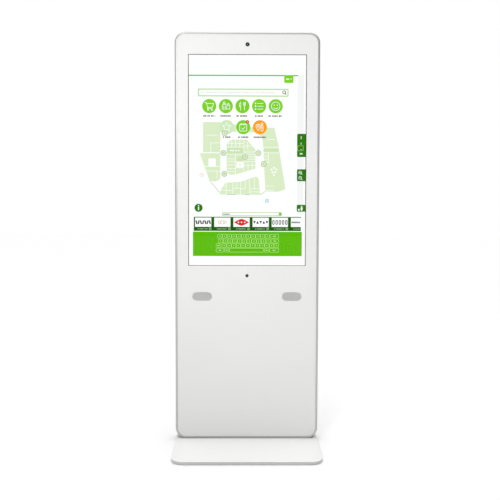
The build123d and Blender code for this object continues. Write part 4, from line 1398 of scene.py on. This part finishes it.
# ---------------------------------------------------------------- dressing the CAD nodes
@dataclass
class FinishBook:
    """Every finish of the kiosk's own parts, and which CAD nodes wear it."""

    dressed: dict[str, str] = field(default_factory=dict)

    def wear(self, finish: Any, nodes: Iterable[str]) -> None:
        """Give a finish to several CAD nodes.

        Args:
            finish: A finish with a make method.
            nodes: The CAD nodes' names.
        """
        material = finish.make()
        for name in nodes:
            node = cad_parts[name]
            node.data.materials.clear()
            node.data.materials.append(material)
            self.dressed[name] = material.name

    def apply(self) -> None:
        """Dress every CAD node."""
        sides = ("left", "right")
        self.wear(PowderCoat("panel_white", (0.86, 0.86, 0.855)), ["front_panel", "rear_cover", "rear_door"])
        # the base plate's second colour is painted shade: the darker grey of its upright edge faces
        self.wear(CoatedPlate("base_white", (0.88, 0.88, 0.873), (0.62, 0.62, 0.615)), ["base_plate"])
        leaves = ["hinge_fixed_leaves", "hinge_door_leaves"]
        self.wear(PowderCoat("hinge_white", (0.84, 0.84, 0.835), 0.36), leaves)
        upright_grain = (1, 1, 0.01)
        level_grain = (0.01, 1, 1)
        silver = (0.56, 0.56, 0.555)
        upright_edge = AnodisedMetal("edge_upright", silver, upright_grain, 0.42, 0.45)
        self.wear(upright_edge, ["left_profile", "right_profile"])
        level_edge = AnodisedMetal("edge_level", silver, level_grain, 0.42, 0.45)
        self.wear(level_edge, ["top_profile", "bottom_profile"])
        corners = ["corner_" + end + "_" + side for end in ("top", "bottom") for side in sides]
        self.wear(AnodisedMetal("edge_corner", (0.58, 0.58, 0.575), (1, 1, 1), 0.4, 0.45), corners)
        grilles = ["speaker_grille_" + side for side in sides]
        self.wear(PowderCoat("grille_coat", (0.74, 0.74, 0.735), 0.4, 0.8), grilles)
        self.wear(ClearGlass("screen_glass"), ["touch_glass"])
        self.wear(MouldedPlastic("display_glass_black", (0.012, 0.012, 0.014), 0.2, 0.3, 0.002), ["lcd_cell"])
        self.wear(MouldedPlastic("light_guide", (0.86, 0.87, 0.88), 0.25, 0.6, 0.01), ["lcd_backlight"])
        self.wear(PaintedBlack("display_frame_black"), ["lcd_bezel"])
        self.wear(Rubber("gasket_foam", (0.02, 0.02, 0.02), 0.8), ["screen_gasket"])
        self.wear(Rubber("pad_rubber", (0.025, 0.025, 0.026), 1.5), ["base_pads", "cable_grommet"])
        plated = ["base_bolts", "foot_plates", "speaker_nuts", "lock_nut", "lock_cam", "din_rail"]
        self.wear(PlatedSteel("zinc_small", (0.66, 0.67, 0.69), 5.0), plated)
        sheet = ["chassis_uprights", "chassis_crossbars", "display_rails", "equipment_tray", "lcd_back_pan"]
        self.wear(PlatedSteel("zinc_sheet", (0.62, 0.63, 0.65), 22.0, 0.42), sheet)
        self.wear(PlatedSteel("supply_case_steel", (0.58, 0.59, 0.6), 9.0), ["power_supply"])
        self.wear(PlatedSteel("stainless_screw", (0.72, 0.72, 0.71), 2.0, 0.3), ["rear_screws", "hinge_pins"])
        self.wear(PaintedBlack("computer_black", roughness=0.55), ["computer_case"])
        self.wear(PaintedBlack("basket_black"), ["speaker_basket_" + side for side in sides])
        paper = MouldedPlastic("cone_paper", (0.03, 0.03, 0.032), 0.7, 0.9, 0.05)
        self.wear(paper, ["speaker_cone_" + side for side in sides])
        housings = ["camera_housing", "sensor_module"]
        self.wear(MouldedPlastic("camera_black", (0.015, 0.015, 0.016), 0.35), housings)
        self.wear(CoatedLens("lens_coat"), ["camera_lens"])
        window = MouldedPlastic("infrared_window", (0.012, 0.008, 0.012), 0.12, 0.5, 0.002, 0.6)
        self.wear(window, ["sensor_window"])
        self.wear(MouldedPlastic("inlet_black", (0.02, 0.02, 0.02), 0.4), ["mains_inlet", "breaker_lever"])
        self.wear(MouldedPlastic("rocker_red", (0.42, 0.02, 0.015), 0.25, 0.4, 0.005, 0.3), ["inlet_rocker"])
        self.wear(MouldedPlastic("breaker_grey", (0.66, 0.67, 0.66), 0.42), ["circuit_breaker"])
        button = MouldedPlastic("button_silver", (0.5, 0.51, 0.52), 0.25, 0.3, 0.004, 0.5)
        self.wear(button, ["computer_button"])
        self.wear(AnodisedMetal("amplifier_black", (0.05, 0.05, 0.055), upright_grain, 0.45), ["amplifier"])
        frames = ["fan_frame_" + side for side in sides]
        self.wear(MouldedPlastic("fan_black", (0.022, 0.022, 0.024), 0.42), frames)
        rotors = ["fan_rotor_" + side for side in sides]
        self.wear(MouldedPlastic("rotor_black", (0.03, 0.03, 0.033), 0.35), rotors)
        self.wear(BrightChrome("lock_chrome"), ["lock_body", "lock_plug"])
        self.wear(Rubber("mains_sheath", (0.02, 0.02, 0.021), 2.0), ["mains_leads"])
        self.wear(Rubber("signal_sheath", (0.09, 0.09, 0.095), 2.0), ["signal_leads"])
        missing = sorted(set(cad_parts) - set(self.dressed))
        LOG.info("dressed %d nodes, %d left: %s", len(self.dressed), len(missing), missing)


# ---------------------------------------------------------------- small fittings
class Workpiece:
    """One piece put together from turned and pressed shapes, with several finishes."""

    def __init__(self, name: str) -> None:
        """Start with an empty sketch."""
        self.name = name
        self.sketch = bmesh.new()
        self.finishes: list[bpy.types.Material] = []

    def finish(self, material: bpy.types.Material) -> int:
        """Add a finish.

        Args:
            material: The material to add.

        Returns:
            The number that shapes use for it.
        """
        if material not in self.finishes:
            self.finishes.append(material)
        return self.finishes.index(material)

    def _loop(self, points: Iterable[Vector]) -> list[bmesh.types.BMVert]:
        """Add a loop of vertices."""
        return [self.sketch.verts.new(point) for point in points]

    def _bridge(
        self, first: list[bmesh.types.BMVert], second: list[bmesh.types.BMVert], finish: int
    ) -> None:
        """Join two loops of equal length with faces."""
        count = len(first)
        for k in range(count):
            n = (k + 1) % count
            face = self.sketch.faces.new((first[k], first[n], second[n], second[k]))
            face.material_index = finish
            face.smooth = count > 12

    def _cap(self, loop: list[bmesh.types.BMVert], finish: int) -> None:
        """Close a loop with one face."""
        face = self.sketch.faces.new(loop)
        face.material_index = finish

    def turned(
        self, profile: Sequence[Point], origin: Vector, axis: Vector, finish: int, sides: int = 28
    ) -> None:
        """Add a shape turned about an axis.

        Args:
            profile: Radius and distance along the axis, in millimetres, from one end to the other.
            origin: Where the distance is zero.
            axis: The direction it runs.
            finish: Its finish's number.
            sides: How many sides the round has; 6 makes a hexagon.
        """
        along = axis.normalized()
        across = along.orthogonal().normalized()
        beside = along.cross(across)
        loops = []
        for radius, distance in profile:
            centre = origin + along * (distance * MM)
            ring = []
            for k in range(sides):
                angle = math.tau * k / sides
                ring.append(centre + (across * math.cos(angle) + beside * math.sin(angle)) * (radius * MM))
            loops.append(self._loop(ring))
        for first, second in zip(loops, loops[1:]):
            self._bridge(first, second, finish)
        self._cap(loops[0], finish)
        self._cap(loops[-1], finish)

    def pressed(self, outline: Sequence[Point], origin: Vector, depths: Sequence[Point], finish: int) -> None:
        """Add a plate shape carried along Y, its outline shrinking as given.

        Args:
            outline: Points as (x, z) in millimetres from the origin.
            origin: The outline's centre.
            depths: Pairs of inset and distance towards the rear, in millimetres.
            finish: Its finish's number.
        """
        reach = max(max(abs(u), abs(v)) for u, v in outline)
        loops = []
        for inset, distance in depths:
            shrink = 1 - inset / reach
            loops.append(self._loop(
                origin + Vector((u * shrink, distance, v * shrink)) * MM for u, v in outline
            ))
        for first, second in zip(loops, loops[1:]):
            self._bridge(first, second, finish)
        self._cap(loops[0], finish)
        self._cap(loops[-1], finish)

    def done(self, body: str) -> bpy.types.Object:
        """Finish the piece and fasten it to a body.

        Args:
            body: The body that it rides on.

        Returns:
            The new object.
        """
        bmesh.ops.recalc_face_normals(self.sketch, faces=self.sketch.faces)
        mesh = bpy.data.meshes.new(self.name)
        self.sketch.to_mesh(mesh)
        self.sketch.free()
        for material in self.finishes:
            mesh.materials.append(material)
        piece = bpy.data.objects.new(self.name, mesh)
        bpy.context.scene.collection.objects.link(piece)
        return fasten(piece, body)


@dataclass
class BayFinishes:
    """Finishes shared by the small fittings of the service bay."""

    nickel: bpy.types.Material = field(init=False)
    dark: bpy.types.Material = field(init=False)
    green: bpy.types.Material = field(init=False)
    nylon: bpy.types.Material = field(init=False)
    lamp: bpy.types.Material = field(init=False)
    zinc: bpy.types.Material = field(init=False)

    def __post_init__(self) -> None:
        """Make each finish once."""
        self.nickel = PlatedSteel("port_nickel", (0.7, 0.7, 0.69), 3.0, 0.26).make()
        self.dark = MouldedPlastic("fitting_black", (0.016, 0.016, 0.017), 0.42).make()
        self.green = MouldedPlastic("terminal_green", (0.02, 0.2, 0.06), 0.4).make()
        self.nylon = MouldedPlastic("tie_nylon", (0.62, 0.62, 0.58), 0.38, 0.5, 0.01).make()
        self.lamp = LitInk("power_lamp", (0.05, 0.9, 0.15), 2.0).make()
        self.zinc = PlatedSteel("screw_zinc", (0.7, 0.71, 0.72), 2.0, 0.3).make()


@dataclass
class ComputerPorts:
    """Row of ports low on the computer's face, and a lamp beside its button."""

    finishes: BayFinishes
    row_height: float = 20.0
    stand: float = 0.9

    def build(self) -> bpy.types.Object:
        """Make the ports.

        Returns:
            The new object.
        """
        low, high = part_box("computer_case")
        work = Workpiece("computer_ports")
        shell = work.finish(self.finishes.nickel)
        mouth_black_and_shade = work.finish(self.finishes.dark)
        tongue = work.finish(self.finishes.nylon)
        lamp = work.finish(self.finishes.lamp)
        z = low.z + self.row_height * MM
        ports = ((24, 14.0, 6.6), (44, 14.0, 6.6), (66, 15.6, 13.0), (88, 16.4, 7.0), (110, 16.4, 7.0))
        for offset, width, height in ports:
            centre = Vector((low.x + offset * MM, high.y, z))
            outline = rounded_box(-width / 2, -height / 2, width / 2, height / 2, 1.1)
            inner = rounded_box(-width / 2 + 1, -height / 2 + 1, width / 2 - 1, height / 2 - 1, 0.8)
            work.pressed(outline, centre, ((0, -0.2), (0, self.stand - 0.2), (0.25, self.stand)), shell)
            # painted shade: a dark block fills each port's mouth, partly the black plastic inside a port and
            # partly the shade in its opening
            work.pressed(inner, centre, ((0, 0), (0, self.stand + 0.05)), mouth_black_and_shade)
            bar = rounded_box(-width / 2 + 2.2, -0.8, width / 2 - 2.2, 0.8, 0.3)
            work.pressed(bar, centre, ((0, 0), (0, self.stand + 0.25)), tongue)
        # the first round socket gets the same dark fill: partly black plastic, partly painted shade in its
        # hole
        for offset, finish in ((134, mouth_black_and_shade), (150, tongue)):
            centre = Vector((low.x + offset * MM, high.y, z))
            work.turned(((4.4, -0.2), (4.4, 0.8), (3.9, 1.1)), centre, REAR, shell)
            work.turned(((3.0, 0), (3.0, 1.2), (2.6, 1.3)), centre, REAR, finish)
        button_low, button_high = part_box("computer_button")
        side = (button_high.x - button_low.x) / 2 + 8 * MM
        middle = (button_low + button_high) / 2
        spot = Vector((middle.x + side, high.y, middle.z))
        work.turned(((1.6, -0.2), (1.6, 0.5), (1.0, 0.9), (0.3, 1.0)), spot, REAR, lamp, 20)
        return work.done(FRAME_BODY)


@dataclass
class SupplyTerminals:
    """Green terminal block along the power supply's lower edge."""

    finishes: BayFinishes
    ways: int = 7
    pitch: float = 9.6

    def build(self) -> bpy.types.Object:
        """Make the block with its screws.

        Returns:
            The new object.
        """
        low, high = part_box("power_supply")
        work = Workpiece("supply_terminals")
        block = work.finish(self.finishes.green)
        screw = work.finish(self.finishes.nickel)
        slit = work.finish(self.finishes.dark)
        start = low.x + 14 * MM
        height = low.z + 9 * MM
        for k in range(self.ways):
            centre = Vector((start + k * self.pitch * MM, high.y, height))
            half = self.pitch / 2 - 0.25
            outline = rounded_box(-half, -7, half, 7, 0.6)
            work.pressed(outline, centre, ((0, -0.2), (0, 6.2), (0.7, 7.0)), block)
            face = centre + Vector((0, 7.0 * MM, 0))
            work.turned(((3.0, -0.2), (3.0, 0.3), (2.6, 0.6)), face, REAR, screw)
            # painted shade: a dark bar on each screw head stands for the shade in its slot
            work.pressed(rounded_box(-2.3, -0.4, 2.3, 0.4, 0), face, ((0, 0.1), (0, 0.65)), slit)
        return work.done(FRAME_BODY)


@dataclass
class BreakerTrim:
    """Terminal screws, state window and blank marks on the circuit breaker."""

    finishes: BayFinishes

    def build(self) -> bpy.types.Object:
        """Make the trim.

        Returns:
            The new object.
        """
        low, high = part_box("circuit_breaker")
        middle = (low + high) / 2
        shoulder = high.y - 10 * MM
        work = Workpiece("breaker_trim")
        screw = work.finish(self.finishes.zinc)
        slit = work.finish(self.finishes.dark)
        window = work.finish(self.finishes.green)
        for side in (-1, 1):
            for across in (-8.5, 8.5):
                place = Vector((middle.x + across * MM, shoulder, middle.z + side * 33 * MM))
                # painted shade: a dark ring round each terminal screw stands for the shade of its recess in
                # the case, and a dark bar on its head for the shade in its slot
                work.turned(((4.2, -0.2), (4.2, 0.15), (4.0, 0.3)), place, REAR, slit)
                work.turned(((3.3, -0.2), (3.3, 0.5), (2.9, 0.8)), place, REAR, screw)
                work.pressed(rounded_box(-2.6, -0.45, 2.6, 0.45, 0), place, ((0, 0.2), (0, 0.85)), slit)
        face = Vector((middle.x, high.y, middle.z))
        state = face + Vector((0, 0, 13.5 * MM))
        pane = rounded_box(-3.4, -1.6, 3.4, 1.6, 0.6)
        work.pressed(pane, state, ((0, -0.2), (0, 0.15), (0.2, 0.3)), window)
        for row, width in ((-13.0, 11.0), (-15.6, 8.0), (-18.2, 11.0)):
            mark = face + Vector((0, 0, row * MM))
            work.pressed(rounded_box(-width / 2, -0.4, width / 2, 0.4, 0), mark, ((0, -0.2), (0, 0.08)), slit)
        return work.done(FRAME_BODY)


@dataclass
class LeadFittings:
    """Plugs and glands where the leads meet the boxes, and ties that hold the leads to the tray."""

    finishes: BayFinishes

    @staticmethod
    def crossing(node: str, height: float, near: float) -> Vector:
        """Where a lead passes a height, found by cutting its mesh.

        Args:
            node: The leads' CAD node.
            height: The height in metres.
            near: Roughly where it is, along X, in metres.

        Returns:
            The middle of the cut.
        """
        cut = bmesh.new()
        cut.from_mesh(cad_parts[node].data)
        geometry = cut.verts[:] + cut.edges[:] + cut.faces[:]
        result = bmesh.ops.bisect_plane(cut, geom=geometry, plane_co=(0, 0, height), plane_no=(0, 0, 1))
        points = [g.co.copy() for g in result["geom_cut"] if isinstance(g, bmesh.types.BMVert)]
        close = [p for p in points if abs(p.x - near) < 12 * MM]
        cut.free()
        return sum(close, Vector()) / len(close)

    def build(self) -> bpy.types.Object:
        """Make the fittings.

        Returns:
            The new object.
        """
        work = Workpiece("lead_fittings")
        dark = work.finish(self.finishes.dark)
        nylon = work.finish(self.finishes.nylon)
        metal = work.finish(self.finishes.nickel)
        case_low, case_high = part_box("computer_case")
        display = self.crossing("signal_leads", case_high.z + 30 * MM, case_low.x + 96 * MM)
        display.z = case_high.z
        plug = ((8.5, 0), (8.5, 16), (6.6, 20), (4.4, 24), (4.2, 34), (3.6, 36))
        work.turned(plug, display, UP, dark)
        work.turned(((9.2, 0), (9.2, 1.6), (8.8, 2)), display, UP, metal, 6)
        supply_low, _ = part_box("power_supply")
        feed = self.crossing("mains_leads", supply_low.z - 6 * MM, supply_low.x + 125 * MM)
        feed.z = supply_low.z
        gland = ((8.4, 0), (8.4, -4.5), (7.6, -5.0), (7.0, -5.0), (7.0, -9), (5.2, -12), (4.0, -12.4))
        work.turned(gland, feed, UP, nylon, 6)
        amp_low, amp_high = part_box("amplifier")
        for edge, side in ((amp_low, -1), (amp_high, 1)):
            stub = Vector((edge.x, 45 * MM, 425 * MM))
            boot = ((4.2, 0), (4.2, 7), (3.2, 9), (2.2, 15), (2.0, 18))
            work.turned(boot, stub, Vector((side, 0, 0)), dark, 20)
        ties = (
            ("mains_leads", 0.375, 0.145), ("mains_leads", 0.43, 0.166), ("mains_leads", 0.17, 0.13),
            ("signal_leads", 0.5, 0.013), ("signal_leads", 0.5, 0.215), ("signal_leads", 0.6, -0.1),
        )
        tray_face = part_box("equipment_tray")[0].y + 2 * MM
        for node, height, near in ties:
            centre = self.crossing(node, height, near)
            span = 3.9 if node == "mains_leads" or near < -0.05 else 2.5
            band = ((span, -1.4), (span + 1.0, -1.3), (span + 1.0, 1.3), (span, 1.4))
            work.turned(band, centre, UP, nylon, 20)
            foot = Vector((centre.x, tray_face, centre.z))
            gap = (centre.y - tray_face) / MM
            work.pressed(rounded_box(-8, -8, 8, 8, 1.5), foot, ((0, 0), (0, 1.6), (0.8, 2.4)), nylon)
            post = rounded_box(-2.6, -2.2, 2.6, 2.2, 0.6)
            work.pressed(post, foot, ((0, 2.0), (0, gap - span + 0.6)), nylon)
        return work.done(FRAME_BODY)


@dataclass
class PanScrews:
    """Cross-recessed pan-head screws, set on a list of places by a node tree."""

    name: str
    places: Sequence[Vector]
    finish: bpy.types.Material
    radius: float = 3.2

    def _tree(self) -> NodeTree:
        """The tree that puts one screw head on each point it is given."""
        tree = NodeTree("screw_heads", {"Radius": 0.0032, "Rise": 0.0022}, takes_points=True)
        dome = tree.add(
            "GeometryNodeMeshUVSphere", {}, {"Segments": 24, "Rings": 12, "Radius": tree.size("Radius")}
        )
        squash = tree.maths("DIVIDE", tree.size("Rise"), tree.size("Radius"))
        head = tree.add(
            "GeometryNodeTransform", {},
            {"Geometry": dome.outputs[0], "Scale": tree.vector(1.0, 1.0, squash)},
        )
        long = tree.maths("MULTIPLY", tree.size("Radius"), 1.2)
        thin = tree.maths("MULTIPLY", tree.size("Radius"), 0.26)
        bars = []
        for first, second in ((long, thin), (thin, long)):
            extent = tree.vector(first, second, tree.size("Rise"))
            bar = tree.add("GeometryNodeMeshCube", {}, {"Size": extent})
            raised = tree.add(
                "GeometryNodeTransform", {},
                {"Geometry": bar.outputs[0], "Translation": tree.vector(0.0, 0.0, tree.size("Rise"))},
            )
            bars.append(raised.outputs[0])
        cross = tree.add("GeometryNodeMeshBoolean", {"operation": "UNION"})
        recessed = tree.add("GeometryNodeMeshBoolean", {"operation": "DIFFERENCE"}, {0: head.outputs[0]})
        for bar in bars:
            tree.group.links.new(bar, cross.inputs[1])
        tree.group.links.new(cross.outputs[0], recessed.inputs[1])
        turned = tree.add(
            "GeometryNodeTransform", {},
            {"Geometry": recessed.outputs[0], "Rotation": (math.radians(-90), 0, 0)},
        )
        placed = tree.add(
            "GeometryNodeInstanceOnPoints", {}, {"Points": tree.size("Points"), "Instance": turned.outputs[0]}
        )
        tree.finish(placed.outputs[0], self.finish)
        return tree

    def build(self) -> bpy.types.Object:
        """Make the screws.

        Returns:
            The new object.
        """
        radius = self.radius * MM
        piece = self._tree().bake(self.name, {"Radius": radius, "Rise": radius * 0.7}, self.places)
        return fasten(piece, FRAME_BODY)


def tray_screw_places() -> list[Vector]:
    """Where the boxes' and the rail's fixing screws sit on the equipment tray."""
    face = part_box("equipment_tray")[0].y + 2 * MM
    places = []
    for node in ("computer_case", "power_supply"):
        low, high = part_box(node)
        for x in (low.x + 20 * MM, high.x - 20 * MM):
            places.append(Vector((x, face, low.z - 9 * MM)))
    low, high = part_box("din_rail")
    for x in (low.x + 10 * MM, high.x - 10 * MM):
        places.append(Vector((x, low.y + MM, (low.z + high.z) / 2)))
    return places


def tray_tab_piece(finishes: BayFinishes) -> bpy.types.Object:
    """Fixing tabs under the computer and the power supply, one at each screw.

    Args:
        finishes: The bay's finishes.

    Returns:
        The new object.
    """
    work = Workpiece("fixing_tabs")
    plate = work.finish(finishes.zinc)
    for place in tray_screw_places()[:4]:
        outline = rounded_box(-9, -8, 9, 9, 3)
        work.pressed(outline, place, ((0, 0), (0, 1.2), (0.3, TAB_THICK)), plate)
    return work.done(FRAME_BODY)


@dataclass
class FanLabel:
    """Round foil label on a fan's hub, turning with the rotor."""

    side: str
    finishes: BayFinishes
    radius: float = 13.0

    def build(self) -> bpy.types.Object:
        """Make the label.

        Returns:
            The new object.
        """
        node = "fan_rotor_" + self.side
        low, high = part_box(node)
        middle = (low + high) / 2
        hub = 0.012
        rear = max(
            v.co.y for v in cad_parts[node].data.vertices
            if math.hypot(v.co.x - middle.x, v.co.z - middle.z) < hub
        )
        work = Workpiece("fan_label_" + self.side)
        foil = work.finish(self.finishes.nickel)
        print_ink = work.finish(self.finishes.dark)
        place = Vector((middle.x, rear, middle.z))
        disc = ((self.radius, -0.1), (self.radius, 0.1), (self.radius - 0.2, 0.15))
        work.turned(disc, place, REAR, foil, 40)
        for row in (-4.5, 0.0, 4.5):
            bar = rounded_box(-7, -0.6, 7, 0.6, 0.3)
            work.pressed(bar, place + Vector((0, 0, row * MM)), ((0, 0.1), (0, 0.2)), print_ink)
        return work.done(self.side + "_fan")


@dataclass
class RatingPlate:
    """Blank metal plate beside the mains inlet, with plain bars in place of print."""

    finishes: BayFinishes
    offset: float = 110.0
    width: float = 72.0
    height: float = 34.0

    def build(self) -> bpy.types.Object:
        """Make the plate.

        Returns:
            The new object.
        """
        inlet_low, inlet_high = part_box("mains_inlet")
        _, cover_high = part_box("rear_cover")
        across = inlet_low.x - self.offset * MM
        place = Vector((across, cover_high.y, (inlet_low.z + inlet_high.z) / 2))
        work = Workpiece("rating_plate")
        plate = work.finish(AnodisedMetal("plate_silver", (0.42, 0.42, 0.42), (0.01, 1, 1), 0.4, 0.6).make())
        print_ink = work.finish(self.finishes.dark)
        half_width, half_height = self.width / 2, self.height / 2
        outline = rounded_box(-half_width, -half_height, half_width, half_height, 3)
        work.pressed(outline, place, ((0, -0.1), (0, 0.3), (0.2, 0.4)), plate)
        for row, left, right in ((10, -12, 30), (5, -22, 30), (0, -4, 30), (-5, -18, 30), (-10, -8, 30)):
            middle = place + Vector(((left + right) / 2 * MM, 0, row * MM))
            bar = rounded_box((left - right) / 2, -0.9, (right - left) / 2, 0.9, 0.3)
            work.pressed(bar, middle, ((0, 0.3), (0, 0.45)), print_ink)
        return work.done(FRAME_BODY)


# ---------------------------------------------------------------- speakers
@dataclass
class SpeakerCloth:
    """Black acoustic cloth stretched behind each perforated insert."""

    side: str
    crown: float = 0.6
    inset: float = 1.0

    def build(self) -> bpy.types.Object:
        """Make the cloth as a slightly crowned stadium.

        Returns:
            The new object.
        """
        low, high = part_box("speaker_cone_" + self.side)
        middle = (low + high) / 2
        half_width = (high.x - low.x) / 2 - self.inset * MM
        end_radius = (high.z - low.z) / 2 - self.inset * MM
        straight = half_width - end_radius
        depth = low.y - 0.5 * MM
        name = "speaker_cloth_" + self.side
        sketch = bmesh.new()
        rings = 5
        sides = 48
        loops = []
        for ring in range(1, rings + 1):
            share = ring / rings
            loop = []
            for k in range(sides):
                angle = math.tau * k / sides
                shift = math.copysign(straight, math.cos(angle)) if abs(math.cos(angle)) > 1e-6 else 0.0
                x = middle.x + share * (shift + end_radius * math.cos(angle))
                z = middle.z + share * end_radius * math.sin(angle)
                y = depth - self.crown * MM * (1 - share * share)
                loop.append(sketch.verts.new((x, y, z)))
            loops.append(loop)
        hub = sketch.verts.new((middle.x, depth - self.crown * MM, middle.z))
        for k in range(sides):
            n = (k + 1) % sides
            sketch.faces.new((hub, loops[0][k], loops[0][n]))
            for inner, outer in zip(loops, loops[1:]):
                sketch.faces.new((inner[k], outer[k], outer[n], inner[n]))
        bmesh.ops.recalc_face_normals(sketch, faces=sketch.faces)
        mesh = bpy.data.meshes.new(name)
        sketch.to_mesh(mesh)
        sketch.free()
        if mesh.polygons[0].normal.y > 0:
            mesh.flip_normals()
        mesh.materials.append(WovenCloth(name, (0.05, 0.05, 0.052)).make())
        piece = bpy.data.objects.new(name, mesh)
        bpy.context.scene.collection.objects.link(piece)
        body = piece.modifiers.new("cloth", "SOLIDIFY")
        body.thickness = 0.3 * MM
        return fasten(piece, FRAME_BODY)


# ---------------------------------------------------------------- studio
@dataclass
class Studio:
    """Floor, soft lights, white surroundings and the camera."""

    camera_height: float = 1.144
    camera_distance: float = 3.1
    camera_pitch: float = 2.92
    lens_mm: float = 49.9
    shift: Point = (0.0058, -0.05)
    floor_half: float = 14.0
    seen_white: float = 1.0
    ambient: float = 0.15
    key_watts: float = 260.0
    key_cone: float = 52.0
    key_place: tuple[float, float, float] = (-1.3, -3.5, 2.15)
    key_target: tuple[float, float, float] = (0.08, 0.0, 1.36)
    overhead_strength: float = 3.0
    camera_side: float = -0.022
    camera_roll: float = 0.15

    def build(self) -> None:
        """Set up everything round the kiosk."""
        bpy.context.scene.view_settings.view_transform = "Standard"
        self._camera()
        self._floor()
        self._world()
        self._lights()

    def _camera(self) -> None:
        """Camera in front of the kiosk at chest height, looking slightly down."""
        low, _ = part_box("front_panel")
        lens = bpy.data.cameras.new("camera")
        lens.lens = self.lens_mm
        lens.sensor_width = 36
        lens.shift_x, lens.shift_y = self.shift
        lens.clip_end = 60
        camera = bpy.data.objects.new("camera", lens)
        camera.location = (self.camera_side, low.y - MM - self.camera_distance, self.camera_height)
        turn = math.degrees(math.atan2(-self.camera_side, self.camera_distance))
        tilt = Euler([math.radians(angle) for angle in (90 - self.camera_pitch, 0, -turn)])
        roll = Quaternion((0, 0, 1), math.radians(self.camera_roll))
        camera.rotation_euler = (tilt.to_quaternion() @ roll).to_euler()
        bpy.context.scene.collection.objects.link(camera)
        bpy.context.scene.camera = camera

    def _floor(self) -> None:
        """Large pale floor."""
        half = self.floor_half
        mesh = bpy.data.meshes.new("floor")
        corners = [(-half, -half, 0), (half, -half, 0), (half, half, 0), (-half, half, 0)]
        mesh.from_pydata(corners, [], [(0, 1, 2, 3)])
        mesh.materials.append(FloorPaint("studio_floor").make())
        floor = bpy.data.objects.new("floor", mesh)
        bpy.context.scene.collection.objects.link(floor)

    def _world(self) -> None:
        """White surroundings, seen brighter than they light the kiosk."""
        world = bpy.data.worlds.new("studio")
        world.use_nodes = True
        tree = world.node_tree
        tree.nodes.clear()
        path = tree.nodes.new("ShaderNodeLightPath")
        seen = tree.nodes.new("ShaderNodeBackground")
        seen.inputs["Strength"].default_value = self.seen_white
        lighting = tree.nodes.new("ShaderNodeBackground")
        lighting.inputs["Strength"].default_value = self.ambient
        for node in (seen, lighting):
            node.inputs["Color"].default_value = (1, 1, 1, 1)
        mix = tree.nodes.new("ShaderNodeMixShader")
        output = tree.nodes.new("ShaderNodeOutputWorld")
        tree.links.new(path.outputs["Is Camera Ray"], mix.inputs[0])
        tree.links.new(lighting.outputs[0], mix.inputs[1])
        tree.links.new(seen.outputs[0], mix.inputs[2])
        tree.links.new(mix.outputs[0], output.inputs[0])
        bpy.context.scene.world = world

    def _lights(self) -> None:
        """A large key at upper left, and an overhead that whitens the floor."""
        soft = bpy.data.lights.new("key", "SPOT")
        soft.energy = self.key_watts
        soft.spot_size = math.radians(self.key_cone)
        soft.spot_blend = 1.0
        soft.shadow_soft_size = 0.5
        key = bpy.data.objects.new("key", soft)
        key.location = self.key_place
        aim = Vector(self.key_target) - Vector(self.key_place)
        key.rotation_euler = aim.to_track_quat("-Z", "Y").to_euler()
        bpy.context.scene.collection.objects.link(key)
        sky = bpy.data.lights.new("overhead", "SUN")
        sky.energy = self.overhead_strength
        sky.angle = math.radians(70)
        lamp = bpy.data.objects.new("overhead", sky)
        lamp.location = (0, 0, 4)
        bpy.context.scene.collection.objects.link(lamp)


def main() -> None:
    """Build every piece round the CAD frame, in order."""
    logging.basicConfig(level=logging.INFO, format="%(name)s: %(message)s")
    Studio().build()
    FinishBook().apply()
    WayfindingPage().build()
    finishes = BayFinishes()
    tab_rise = Vector((0, TAB_THICK * MM, 0))
    screw_seats = [place + tab_rise for place in tray_screw_places()]
    pieces = [
        SpeakerCloth("left").build(),
        SpeakerCloth("right").build(),
        ComputerPorts(finishes).build(),
        SupplyTerminals(finishes).build(),
        BreakerTrim(finishes).build(),
        LeadFittings(finishes).build(),
        tray_tab_piece(finishes),
        FanLabel("left", finishes).build(),
        FanLabel("right", finishes).build(),
        RatingPlate(finishes).build(),
        PanScrews("tray_screws", screw_seats, finishes.zinc).build(),
    ]
    for piece in pieces:
        LOG.info("built %s with %d faces", piece.name, len(piece.data.polygons))


if __name__ == "__main__":
    main()
